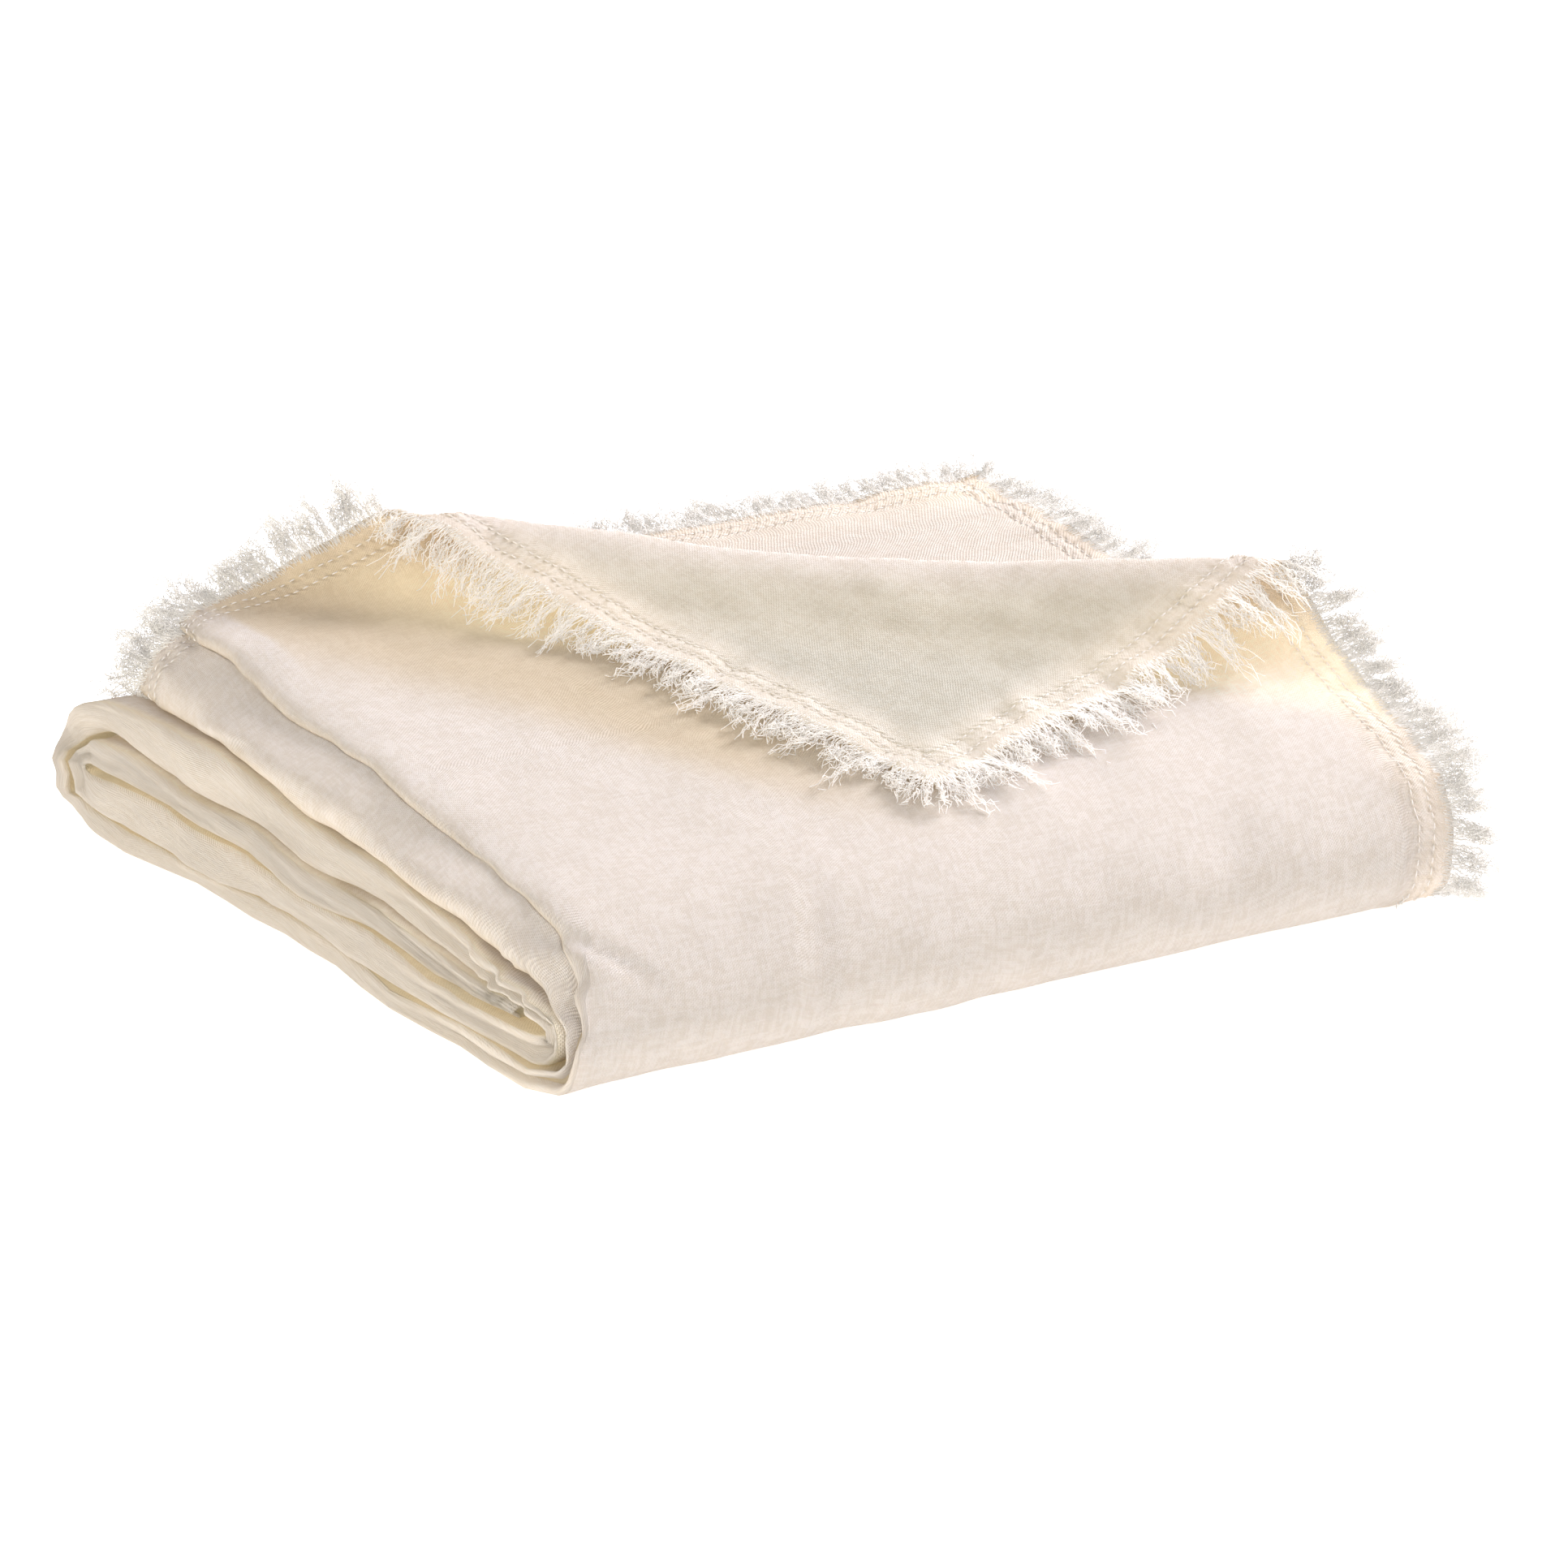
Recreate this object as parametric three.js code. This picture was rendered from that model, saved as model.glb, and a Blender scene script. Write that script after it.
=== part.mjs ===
// A linen throw with frayed edges, folded in four across its width, rolled up on itself in five
// bands, and finished with one corner of the top layer turned back.
// Units are millimetres, +Z is up, +X runs along the front fold and +Y towards the back.
import * as THREE from 'three';

// Driving sizes
const CLOTH_THICKNESS = 1.2;
const EDGE_GAP = 0.3;
const FOLD_BULGE = 0.9;
const INNER_FOLD_INSET = 2;
const SECOND_LAYER_INSET = 18.5;
const RIGHT_FOLD_INSET = 24;
const SECOND_LAYER_SETBACK = -1;
const LOWER_LAYERS_SETBACK = 28;
const ORIGIN = new THREE.Vector3(170, 150, 0);
const FLOOR_SNAP = 0.3;
const PINCH_ANGLE = 0.45;
const LARGEST_MITRE_SINE = 0.6;
const HALVINGS = 40;
const LINEN = { color: 0xefe4d6, roughness: 0.9, metalness: 0 };
const FRAYED_LINEN = { color: 0xf3ebe0, roughness: 0.95, metalness: 0 };

// The folded strip seen along X, one row for each section or fold, from the raw end of the top panel
// to the raw end rolled inside. y and z place the middle of the strip and half is half its thickness;
// left and right are its ends. lean sets its upper layer back from its lower one at the left fold,
// and pinch draws that fold in at mid height.
const STRIP = [
  { part: 'top', y: 308, z: 53.0, half: 8.8, left: 17, right: 376, lean: 27, pinch: 8 },
  { part: 'top', y: 262, z: 52.6, half: 8.6, left: 12, right: 371, lean: 28, pinch: 13 },
  { part: 'top', y: 206, z: 50.4, half: 8.2, left: 8, right: 365, lean: 28, pinch: 14 },
  { part: 'top', y: 150, z: 46.8, half: 7.6, left: 7, right: 359, lean: 27, pinch: 14 },
  { part: 'top', y: 104, z: 42.8, half: 6.6, left: 7, right: 354, lean: 26, pinch: 13 },
  { part: 'top', y: 66, z: 38.6, half: 5.4, left: 8, right: 348, lean: 23, pinch: 11 },
  { part: 'front', y: 30, z: 33.0, half: 4.4, left: 8, right: 340, lean: 16, pinch: 6 },
  { part: 'front', y: 9.5, z: 26.2, half: 3.9, left: 6, right: 332, lean: 7, pinch: 2 },
  { part: 'front', y: -1.6, z: 17.6, half: 3.6, left: 4, right: 326, lean: 2, pinch: 0 },
  { part: 'front', y: -4, z: 9.6, half: 3.5, left: 2, right: 322, lean: 0, pinch: 0 },
  { part: 'front', y: 0.5, z: 4.7, half: 3.5, left: 0, right: 320, lean: 0, pinch: 0 },
  { part: 'bottom', y: 12, z: 3.5, half: 3.5, left: -3, right: 320, lean: 0, pinch: 0 },
  { part: 'bottom', y: 70, z: 3.5, half: 3.5, left: -5, right: 320, lean: 0, pinch: 0 },
  { part: 'bottom', y: 130, z: 3.5, half: 3.5, left: 0.5, right: 322, lean: 0, pinch: 0 },
  { part: 'bottom', y: 200, z: 3.5, half: 3.5, left: -0.5, right: 324, lean: 0, pinch: 0 },
  { part: 'bottom', y: 278, z: 3.5, half: 3.5, left: -4.6, right: 326, lean: 0, pinch: 0 },
  { part: 'back', y: 296, z: 4.9, half: 3.5, left: -5, right: 326, lean: 0, pinch: 0 },
  { part: 'back', y: 304, z: 11.4, half: 3.5, left: -4, right: 326, lean: 0, pinch: 0 },
  { part: 'back', y: 306, z: 22.4, half: 3.5, left: -2, right: 326, lean: 0, pinch: 0 },
  { part: 'back', y: 299, z: 32.4, half: 4.0, left: 0, right: 326, lean: 0, pinch: 0 },
  { part: 'back', y: 280, z: 36.8, half: 5.8, left: 3, right: 328, lean: 0, pinch: 0 },
  { part: 'second', y: 240, z: 36.4, half: 6.6, left: 4, right: 328, lean: 0, pinch: 0 },
  { part: 'second', y: 180, z: 33.8, half: 6.4, left: 3, right: 328, lean: 0, pinch: 0 },
  { part: 'second', y: 110, z: 30.2, half: 5.3, left: 4, right: 326, lean: 0, pinch: 0 },
  { part: 'second', y: 60, z: 27.0, half: 4.3, left: 5, right: 324, lean: 0, pinch: 0 },
  { part: 'inner front', y: 36, z: 24.6, half: 3.3, left: 6, right: 322, lean: 0, pinch: 0 },
  { part: 'inner front', y: 19.7, z: 21.9, half: 3.0, left: 7, right: 321, lean: 0, pinch: 0 },
  { part: 'inner front', y: 14.4, z: 20.3, half: 3.0, left: 8, right: 321, lean: 0, pinch: 0 },
  { part: 'inner front', y: 12.2, z: 16.3, half: 3.0, left: 8, right: 320, lean: 0, pinch: 0 },
  { part: 'inner front', y: 14.4, z: 12.2, half: 3.0, left: 7, right: 320, lean: 0, pinch: 0 },
  { part: 'inner front', y: 19.7, z: 10.6, half: 3.0, left: 5, right: 320, lean: 0, pinch: 0 },
  { part: 'fourth', y: 70, z: 11.4, half: 4.0, left: 2, right: 320, lean: 0, pinch: 0 },
  { part: 'fourth', y: 140, z: 12.2, half: 4.8, left: 3, right: 322, lean: 0, pinch: 0 },
  { part: 'fourth', y: 220, z: 12.6, half: 5.0, left: 4, right: 322, lean: 0, pinch: 0 },
  { part: 'inner back', y: 270, z: 13.2, half: 3.6, left: 2, right: 322, lean: 0, pinch: 0 },
  { part: 'inner back', y: 287.5, z: 13.8, half: 3.0, left: 3, right: 322, lean: 0, pinch: 0 },
  { part: 'inner back', y: 292.8, z: 15.4, half: 3.0, left: 3, right: 322, lean: 0, pinch: 0 },
  { part: 'inner back', y: 295, z: 19.4, half: 3.0, left: 4, right: 322, lean: 0, pinch: 0 },
  { part: 'inner back', y: 292.8, z: 23.4, half: 3.0, left: 4, right: 322, lean: 0, pinch: 0 },
  { part: 'inner back', y: 287.5, z: 25.0, half: 3.0, left: 4, right: 322, lean: 0, pinch: 0 },
  { part: 'middle', y: 260, z: 24.8, half: 3.8, left: 4, right: 322, lean: 0, pinch: 0 },
  { part: 'middle', y: 210, z: 23.0, half: 4.8, left: 5, right: 322, lean: 0, pinch: 0 },
  { part: 'middle', y: 140, z: 21.4, half: 4.0, left: 4, right: 322, lean: 0, pinch: 0 },
  { part: 'middle', y: 80, z: 19.6, half: 3.3, left: 6, right: 321, lean: 0, pinch: 0 },
  { part: 'middle', y: 40, z: 18.0, half: 3.0, left: 9, right: 320, lean: 0, pinch: 0 },
];
const STRIP_COLUMNS = ['y', 'z', 'half', 'left', 'right', 'lean', 'pinch'];
const LAST_TOP_ROW = STRIP.findLastIndex((row) => row.part === 'top');
const LAST_FRONT_ROW = STRIP.findLastIndex((row) => row.part === 'front');
const FRONTMOST_ROW = LAST_FRONT_ROW - 2;

// The turned corner of the top layer. Its crest runs between two points seen from above; the cloth
// leaves the top panel on a line in front of the crest. The bend is drawn square to the crest:
// run is the distance from the lifting line towards the corner, rise the height over the panel.
const CREST_BACK = new THREE.Vector2(111, 304);
const CREST_RIGHT = new THREE.Vector2(357, 117);
const LIFT_RUN = 52;
const CORNER_REACH = 10;
const BEND = [
  { run: 0, rise: 0 },
  { run: 16, rise: 1.2 },
  { run: 30, rise: 5.5 },
  { run: 42, rise: 12.5 },
  { run: 50, rise: 18.5 },
  { run: 53.5, rise: 22 },
  { run: 50, rise: 24.4 },
  { run: 42, rise: 22.5 },
  { run: 32, rise: 17 },
  { run: 20, rise: 10 },
  { run: 4, rise: 6 },
  { run: -18, rise: 4.4 },
  { run: -48, rise: 3.7 },
  { run: -150, rise: 3.4 },
];
const BEND_DIVISIONS = 600;
// The crest sags between its two ends; only what rises over the sag's floor takes part
const CREST_SAG = 0.5;
const SAG_POWER = 1.5;
const SAG_FLOOR = 4;
const LIFT_FADE = 30;
// Distances along the bent cloth of the mesh lines square to the bend, from the lifting side to the
// corner; the corner itself ends the list
const BEND_LINES = [20, 32, 42, 51, 58, 63, 68, 76, 88, 104, 130, 168];

// Pieces of the strip's section in order from one raw edge to the other, with their mesh steps
const SECTION = [
  { piece: 'outer fold', steps: 10 },
  { piece: 'fourth layer', steps: 2 },
  { piece: 'right fold', steps: 2 },
  { piece: 'third layer', steps: 2 },
  { piece: 'inner fold', steps: 2 },
  { piece: 'second layer', steps: 3 },
];
const SHOULDER_STEPS = 2;

// Frayed edges: locks stand in a row on a narrow strip along the raw edge
const FRINGE = {
  stripWidth: 2.4,
  endTrim: 2.5,
  pitch: 6.6,
  lockWidth: 3.2,
  shortest: 8.4,
  longest: 13.2,
  sway: 3,
  waistAt: 0.5,
  waistShare: 0.6,
};

// Steps of the scatter that makes the locks uneven, with a start for each trait
const SCATTER = { step: 12.9898, spread: 43758.5453, reach: 4.14, sway: 8.04, lift: 13.23 };
const LOCKS_APART = 1000;
const OUTER_SIDE = 1;

// Straight mixing of two numbers
function mix(a, b, share) {
  return a + (b - a) * share;
}

// Repeatable uneven number from 0 to 1 for one trait of the lock with that number
function uneven(number, trait) {
  const wave = Math.sin(number * SCATTER.step + SCATTER[trait]) * SCATTER.spread;
  return wave - Math.floor(wave);
}

// Slope of one column at a row, kept from overshooting where the column turns back
function columnSlope(column, index, spans) {
  const here = STRIP[index][column];
  const before = index > 0 ? (here - STRIP[index - 1][column]) / spans[index - 1] : null;
  const after = index < spans.length ? (STRIP[index + 1][column] - here) / spans[index] : null;
  if (before === null || after === null) {
    return before ?? after;
  }
  if (before * after <= 0) {
    return 0;
  }
  const early = 2 * spans[index] + spans[index - 1];
  const late = spans[index] + 2 * spans[index - 1];
  return (early + late) / (early / before + late / after);
}

const STRIP_SPANS = STRIP.slice(1).map((row, i) => Math.hypot(row.y - STRIP[i].y, row.z - STRIP[i].z));
const STRIP_SLOPES = STRIP.map((_, i) =>
  Object.fromEntries(STRIP_COLUMNS.map((column) => [column, columnSlope(column, i, STRIP_SPANS)])));

// Values of the strip's columns at a row number with a fraction, with the strip's unit normal
function stripAt(rowNumber) {
  const i = Math.min(Math.max(Math.floor(rowNumber), 0), STRIP.length - 2);
  const t = rowNumber - i;
  const span = STRIP_SPANS[i];
  const at = {};
  const rate = {};
  for (const column of STRIP_COLUMNS) {
    const start = STRIP[i][column];
    const end = STRIP[i + 1][column];
    const leave = STRIP_SLOPES[i][column] * span;
    const arrive = STRIP_SLOPES[i + 1][column] * span;
    at[column] = start * (2 * t ** 3 - 3 * t ** 2 + 1) + leave * (t ** 3 - 2 * t ** 2 + t)
      + end * (3 * t ** 2 - 2 * t ** 3) + arrive * (t ** 3 - t ** 2);
    rate[column] = (start - end) * (6 * t ** 2 - 6 * t) + leave * (3 * t ** 2 - 4 * t + 1)
      + arrive * (3 * t ** 2 - 2 * t);
  }
  const speed = Math.hypot(rate.y, rate.z);
  at.normalY = rate.z / speed;
  at.normalZ = -rate.y / speed;
  return at;
}

// A point of the strip's section, from its width place and its height over the strip's middle
function sectionPoint(at, x, offset) {
  return new THREE.Vector3(x, at.y + offset * at.normalY, at.z + offset * at.normalZ);
}

// A point of one piece of the section at a row, share running from 0 to 1 along the piece
function stripPoint(rowNumber, piece, share) {
  const at = stripAt(rowNumber);
  const outer = at.half - CLOTH_THICKNESS / 2;
  const inner = outer / 3;
  const bulge = FOLD_BULGE * at.half;
  const lowerEdge = at.left + bulge;
  const upperEdge = lowerEdge + at.lean;
  const innerEdge = upperEdge + INNER_FOLD_INSET + inner;
  const foldEdge = at.right - RIGHT_FOLD_INSET - inner;
  const angle = Math.PI * (0.5 - share);
  switch (piece) {
    case 'top layer':
      return sectionPoint(at, mix(at.right, upperEdge, share), outer);
    case 'outer fold': {
      const drawnIn = at.pinch * Math.exp(-((angle / PINCH_ANGLE) ** 2));
      const setBack = at.lean * ((1 + Math.sin(angle)) / 2) ** 2;
      const x = at.left + bulge * (1 - Math.cos(angle)) + setBack + drawnIn;
      return sectionPoint(at, x, outer * Math.sin(angle));
    }
    case 'fourth layer':
      return sectionPoint(at, mix(lowerEdge, foldEdge, share), -outer);
    case 'right fold':
      return sectionPoint(at, foldEdge + inner * Math.cos(angle), -2 * inner - inner * Math.sin(angle));
    case 'third layer':
      return sectionPoint(at, mix(foldEdge, innerEdge, share), -inner);
    case 'inner fold':
      return sectionPoint(at, innerEdge - inner * Math.cos(angle), -inner * Math.sin(angle));
    default:
      return sectionPoint(at, mix(innerEdge, at.right - SECOND_LAYER_INSET, share), inner);
  }
}

// Row number where the upper face of the top panel or front fold reaches a depth, by halving
function topRowAt(depth) {
  let low = 0;
  let high = FRONTMOST_ROW;
  for (let step = 0; step < HALVINGS; step += 1) {
    const middle = (low + high) / 2;
    if (stripPoint(middle, 'top layer', 0).y > depth) {
      low = middle;
    } else {
      high = middle;
    }
  }
  return (low + high) / 2;
}

const BEND_CURVE = new THREE.CatmullRomCurve3(BEND.map((row) => new THREE.Vector3(row.run, 0, row.rise)));
BEND_CURVE.arcLengthDivisions = BEND_DIVISIONS;
const BEND_LENGTH = BEND_CURVE.getLength();
const CREST_ALONG = CREST_RIGHT.clone().sub(CREST_BACK).normalize();
const CREST_AWAY = new THREE.Vector2(-CREST_ALONG.y, CREST_ALONG.x);

// Distance of a plan point past the lifting line, towards the corner
function pastLift(x, y) {
  return (x - CREST_BACK.x) * CREST_AWAY.x + (y - CREST_BACK.y) * CREST_AWAY.y + LIFT_RUN;
}

// Share of the crest's full height at a plan point, least halfway between the crest's ends
function sagShare(x, y) {
  const reach = (x - CREST_BACK.x) * CREST_ALONG.x + (y - CREST_BACK.y) * CREST_ALONG.y;
  const place = THREE.MathUtils.clamp(reach / CREST_RIGHT.distanceTo(CREST_BACK), 0, 1);
  return 1 - CREST_SAG * Math.sin(Math.PI * place) ** SAG_POWER;
}

// A point of the top panel's upper layer, with the turned corner bent back over the panel
function topPoint(x, y) {
  const along = pastLift(x, y);
  const row = topRowAt(y);
  if (along <= 0) {
    return stripPoint(row, 'top layer', 0).setX(x);
  }
  const bent = BEND_CURVE.getPointAt(Math.min(along / BEND_LENGTH, 1));
  const at = stripAt(row);
  const shoulder = at.left + FOLD_BULGE * at.half + at.lean;
  const fade = THREE.MathUtils.smoothstep(x - shoulder, 0, LIFT_FADE);
  const newX = x + (bent.x - along) * CREST_AWAY.x;
  const newY = y + (bent.x - along) * CREST_AWAY.y;
  const under = stripPoint(topRowAt(newY), 'top layer', 0);
  const high = Math.max(bent.z - SAG_FLOOR, 0) * sagShare(x, y);
  return new THREE.Vector3(newX, newY, under.z + (Math.min(bent.z, SAG_FLOOR) + high) * fade);
}

// Where a line square to the bend crosses the back edge and the right edge of the top layer
const BACK_EDGE = stripAt(0).y;
const CORNER = new THREE.Vector2(stripAt(0).right, BACK_EDGE + CORNER_REACH);

function lineOnBackEdge(along) {
  const x = CREST_BACK.x + (along - LIFT_RUN - (BACK_EDGE - CREST_BACK.y) * CREST_AWAY.y) / CREST_AWAY.x;
  return new THREE.Vector2(x, BACK_EDGE);
}

function lineOnRightEdge(along) {
  let low = 0;
  let high = LAST_TOP_ROW;
  for (let step = 0; step < HALVINGS; step += 1) {
    const middle = (low + high) / 2;
    const at = stripAt(middle);
    if (pastLift(at.right, stripPoint(middle, 'top layer', 0).y) > along) {
      low = middle;
    } else {
      high = middle;
    }
  }
  return new THREE.Vector2(stripAt(low).right, stripPoint(low, 'top layer', 0).y);
}

// Plan places of the corner block of the top layer: its mesh lines run square to the bend.
// i counts rows from the back edge and c columns from the right edge.
const BLOCK = BEND_LINES.length;
const BLOCK_BACK = lineOnBackEdge(BEND_LINES[0]);
const BLOCK_RIGHT = lineOnRightEdge(BEND_LINES[0]);
const CORNER_ALONG = pastLift(CORNER.x, CORNER.y);

function blockPlan(i, c) {
  const line = i + c;
  if (line === 0) {
    return CORNER.clone();
  }
  if (line <= BLOCK) {
    const reach = (CORNER_ALONG - BEND_LINES[BLOCK - line]) / (CORNER_ALONG - BEND_LINES[0]);
    const onRight = CORNER.clone().lerp(BLOCK_RIGHT, reach);
    const onBack = CORNER.clone().lerp(BLOCK_BACK, reach);
    return onBack.lerp(onRight, i / line);
  }
  const beyond = (line - BLOCK) / BLOCK;
  const left = new THREE.Vector2(BLOCK_BACK.x, mix(BACK_EDGE, BLOCK_RIGHT.y, beyond));
  const front = new THREE.Vector2(mix(BLOCK_RIGHT.x, BLOCK_BACK.x, beyond), BLOCK_RIGHT.y);
  return left.lerp(front, (i - line + BLOCK) / (2 * BLOCK - line));
}

// Row numbers of the mesh: even depths down the corner block, then each table row, with a step
// between rows where the outer folds show
function meshRows() {
  const rows = [];
  for (let i = 0; i <= BLOCK; i += 1) {
    rows.push(topRowAt(mix(BACK_EDGE, BLOCK_RIGHT.y, i / BLOCK)));
  }
  rows[0] = 0;
  for (let i = Math.floor(rows.at(-1)) + 1; i < STRIP.length; i += 1) {
    const outward = ['front', 'back'].includes(STRIP[i].part);
    if (outward) {
      rows.push(i - 0.5);
    }
    rows.push(i);
  }
  return rows;
}

// The top layer's points along one mesh row, from the right edge to the shoulder of the left fold
function topLayerRow(rowNumber, i) {
  const points = [];
  const inBlock = i <= BLOCK;
  const blockEdge = stripPoint(rowNumber, 'top layer', 1);
  for (let c = 0; c < BLOCK; c += 1) {
    const plan = inBlock ? blockPlan(i, c) : null;
    const share = c / BLOCK;
    points.push(inBlock ? topPoint(plan.x, plan.y) : rowPoint(rowNumber, share, blockEdge.x));
  }
  for (let step = 0; step < SHOULDER_STEPS; step += 1) {
    const onRow = rowPoint(rowNumber, 1, blockEdge.x);
    const x = mix(onRow.x, blockEdge.x, step / SHOULDER_STEPS);
    points.push(inBlock ? topPoint(x, onRow.y) : onRow.setX(x));
  }
  return points;
}

// A point of the top layer between the right edge and the corner block's left side
function rowPoint(rowNumber, share, shoulder) {
  const right = stripPoint(rowNumber, 'top layer', 0);
  const left = Math.max(BLOCK_BACK.x, shoulder);
  return right.setX(mix(right.x, left, share));
}

// How far each piece of the section stops short of the top layer's raw back end, at its two ends
const SETBACK = {
  'outer fold': [0, LOWER_LAYERS_SETBACK],
  'fourth layer': [LOWER_LAYERS_SETBACK, LOWER_LAYERS_SETBACK],
  'right fold': [LOWER_LAYERS_SETBACK, LOWER_LAYERS_SETBACK],
  'third layer': [LOWER_LAYERS_SETBACK, LOWER_LAYERS_SETBACK],
  'inner fold': [LOWER_LAYERS_SETBACK, SECOND_LAYER_SETBACK],
  'second layer': [SECOND_LAYER_SETBACK, SECOND_LAYER_SETBACK],
};

// A point of the section with its setback, which fades out along the top panel
function setBackPoint(rowNumber, piece, share) {
  const [start, end] = SETBACK[piece];
  const short = mix(start, end, share) * Math.max(0, 1 - rowNumber / LAST_TOP_ROW);
  const point = stripPoint(rowNumber, piece, share);
  point.y -= short;
  return point;
}

// The cloth's middle surface as rows of points from one raw side edge to the other
function clothGrid() {
  return meshRows().map((rowNumber, i) => {
    const points = topLayerRow(rowNumber, i);
    for (const { piece, steps } of SECTION) {
      for (let step = 0; step < steps; step += 1) {
        points.push(setBackPoint(rowNumber, piece, step / steps));
      }
    }
    points.push(setBackPoint(rowNumber, SECTION.at(-1).piece, 1));
    return points;
  });
}

// Direction along a line of points at one of them, halfway between its two stretches
function lineDirection(before, point, after) {
  const direction = new THREE.Vector3();
  if (before) {
    direction.add(point.clone().sub(before).normalize());
  }
  if (after) {
    direction.add(after.clone().sub(point).normalize());
  }
  return direction.normalize();
}

// Unit normals of the grid, lengthened at bends so that the cloth keeps its thickness
function gridNormals(grid) {
  return grid.map((points, i) => points.map((point, c) => {
    const down = lineDirection(grid[i - 1]?.[c], point, grid[i + 1]?.[c]);
    const across = lineDirection(points[c - 1], point, points[c + 1]);
    const normal = across.clone().cross(down).normalize();
    const around = [grid[i - 1]?.[c], grid[i + 1]?.[c], points[c - 1], points[c + 1]].filter(Boolean);
    const sines = around.map((near) => Math.abs(near.clone().sub(point).normalize().dot(normal)));
    const sine = Math.min(Math.max(...sines), LARGEST_MITRE_SINE);
    return normal.multiplyScalar(1 / Math.sqrt(1 - sine ** 2));
  }));
}

// A mesh from points and triangles, moved to the part's origin
function solid(name, finish, points, triangles) {
  const geometry = new THREE.BufferGeometry();
  const moved = points.map((point) => point.clone().sub(ORIGIN));
  geometry.setFromPoints(moved);
  geometry.setIndex(triangles.flat());
  geometry.computeVertexNormals();
  const mesh = new THREE.Mesh(geometry, new THREE.MeshStandardMaterial(finish));
  mesh.name = name;
  return mesh;
}

// The cloth as a closed sheet: both faces of the grid and the rim that joins them
function clothMesh(grid, normals) {
  const width = grid[0].length;
  const count = grid.length * width;
  const face = (side) => grid.flatMap((points, i) => points.map((point, c) => {
    const moved = point.clone().addScaledVector(normals[i][c], side * CLOTH_THICKNESS / 2);
    if (moved.z < FLOOR_SNAP) {
      moved.z = 0;
    }
    return moved;
  }));
  const triangles = [];
  const quad = (a, b, c, d) => triangles.push([a, b, c], [a, c, d]);
  for (let i = 0; i + 1 < grid.length; i += 1) {
    for (let c = 0; c + 1 < width; c += 1) {
      const a = i * width + c;
      triangles.push([a, a + 1, a + width], [a + 1, a + width + 1, a + width]);
      triangles.push([count + a, count + a + width, count + a + 1]);
      triangles.push([count + a + 1, count + a + width, count + a + width + 1]);
    }
  }
  const rim = [];
  for (let c = 0; c < width; c += 1) {
    rim.push(c);
  }
  for (let i = 1; i < grid.length; i += 1) {
    rim.push(i * width + width - 1);
  }
  for (let c = width - 2; c >= 0; c -= 1) {
    rim.push((grid.length - 1) * width + c);
  }
  for (let i = grid.length - 2; i > 0; i -= 1) {
    rim.push(i * width);
  }
  rim.forEach((here, k) => {
    const next = rim[(k + 1) % rim.length];
    quad(here, count + here, count + next, next);
  });
  return solid('cloth', LINEN, [...face(1), ...face(-1)], triangles);
}

// A raw edge of the grid between two of its points: place, outward way, normal and run length
function rawEdge(grid, normals, run) {
  const edge = [];
  const steps = Math.abs(run.to - run.from);
  for (let step = 0; step <= steps; step += 1) {
    const place = run.from + step * Math.sign(run.to - run.from);
    const i = run.side === 'back' ? 0 : place;
    const c = run.side === 'back' ? place : run.column;
    const nextI = run.side === 'back' ? 1 : i;
    const nextC = run.side === 'back' ? c : c + (run.column === 0 ? 1 : -1);
    const point = grid[i][c];
    edge.push({ point, inside: grid[nextI][nextC], normal: normals[i][c].clone().normalize() });
  }
  let length = 0;
  edge.forEach((spot, k) => {
    const way = lineDirection(edge[k - 1]?.point, spot.point, edge[k + 1]?.point);
    spot.out = spot.point.clone().sub(spot.inside);
    spot.out.addScaledVector(way, -spot.out.dot(way)).normalize();
    length += k > 0 ? spot.point.distanceTo(edge[k - 1].point) : 0;
    spot.length = length;
  });
  return edge;
}

// The raw edge at a run length
function edgeAt(edge, length) {
  const k = Math.max(1, edge.findIndex((spot) => spot.length >= length));
  const before = edge[k - 1];
  const after = edge[k];
  const share = (length - before.length) / (after.length - before.length);
  const blend = (column) => before[column].clone().lerp(after[column], share);
  return { point: blend('point'), out: blend('out').normalize(), normal: blend('normal').normalize() };
}

// The four corners of the fringe's narrow strip at a run length: near and far, over and under
function stripCorners(edge, length) {
  const { point, out, normal } = edgeAt(edge, length);
  const corner = (reach, side) => {
    const at = point.clone().addScaledVector(out, reach).addScaledVector(normal, side * CLOTH_THICKNESS / 2);
    at.z = Math.max(at.z, 0);
    return at;
  };
  const far = EDGE_GAP + FRINGE.stripWidth;
  return [corner(EDGE_GAP, 1), corner(far, 1), corner(far, -1), corner(EDGE_GAP, -1)];
}

// Run lengths where the strip has a ring of corners: the two sides of each lock, which keeps clear of
// the edge's own corners, and the edge's corners between locks
function fringeStations(edge) {
  const usable = edge.at(-1).length - 2 * FRINGE.endTrim;
  const locks = Math.max(2, Math.round(usable / FRINGE.pitch));
  const pitch = (usable - FRINGE.lockWidth) / (locks - 1);
  const corners = edge.map((spot) => spot.length);
  const stations = [];
  for (let lock = 0; lock < locks; lock += 1) {
    let start = FRINGE.endTrim + lock * pitch;
    const crossed = corners.find((length) => length > start && length < start + FRINGE.lockWidth);
    if (crossed) {
      start = crossed < start + FRINGE.lockWidth / 2 ? crossed : crossed - FRINGE.lockWidth;
    }
    const passed = stations.at(-1)?.length ?? start;
    const between = corners.filter((length) => length > passed + EDGE_GAP && length < start - EDGE_GAP);
    stations.push(...between.map((length) => ({ length, holdsLock: false })));
    stations.push({ length: start, holdsLock: true });
    stations.push({ length: start + FRINGE.lockWidth, holdsLock: false });
  }
  return stations;
}

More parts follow.
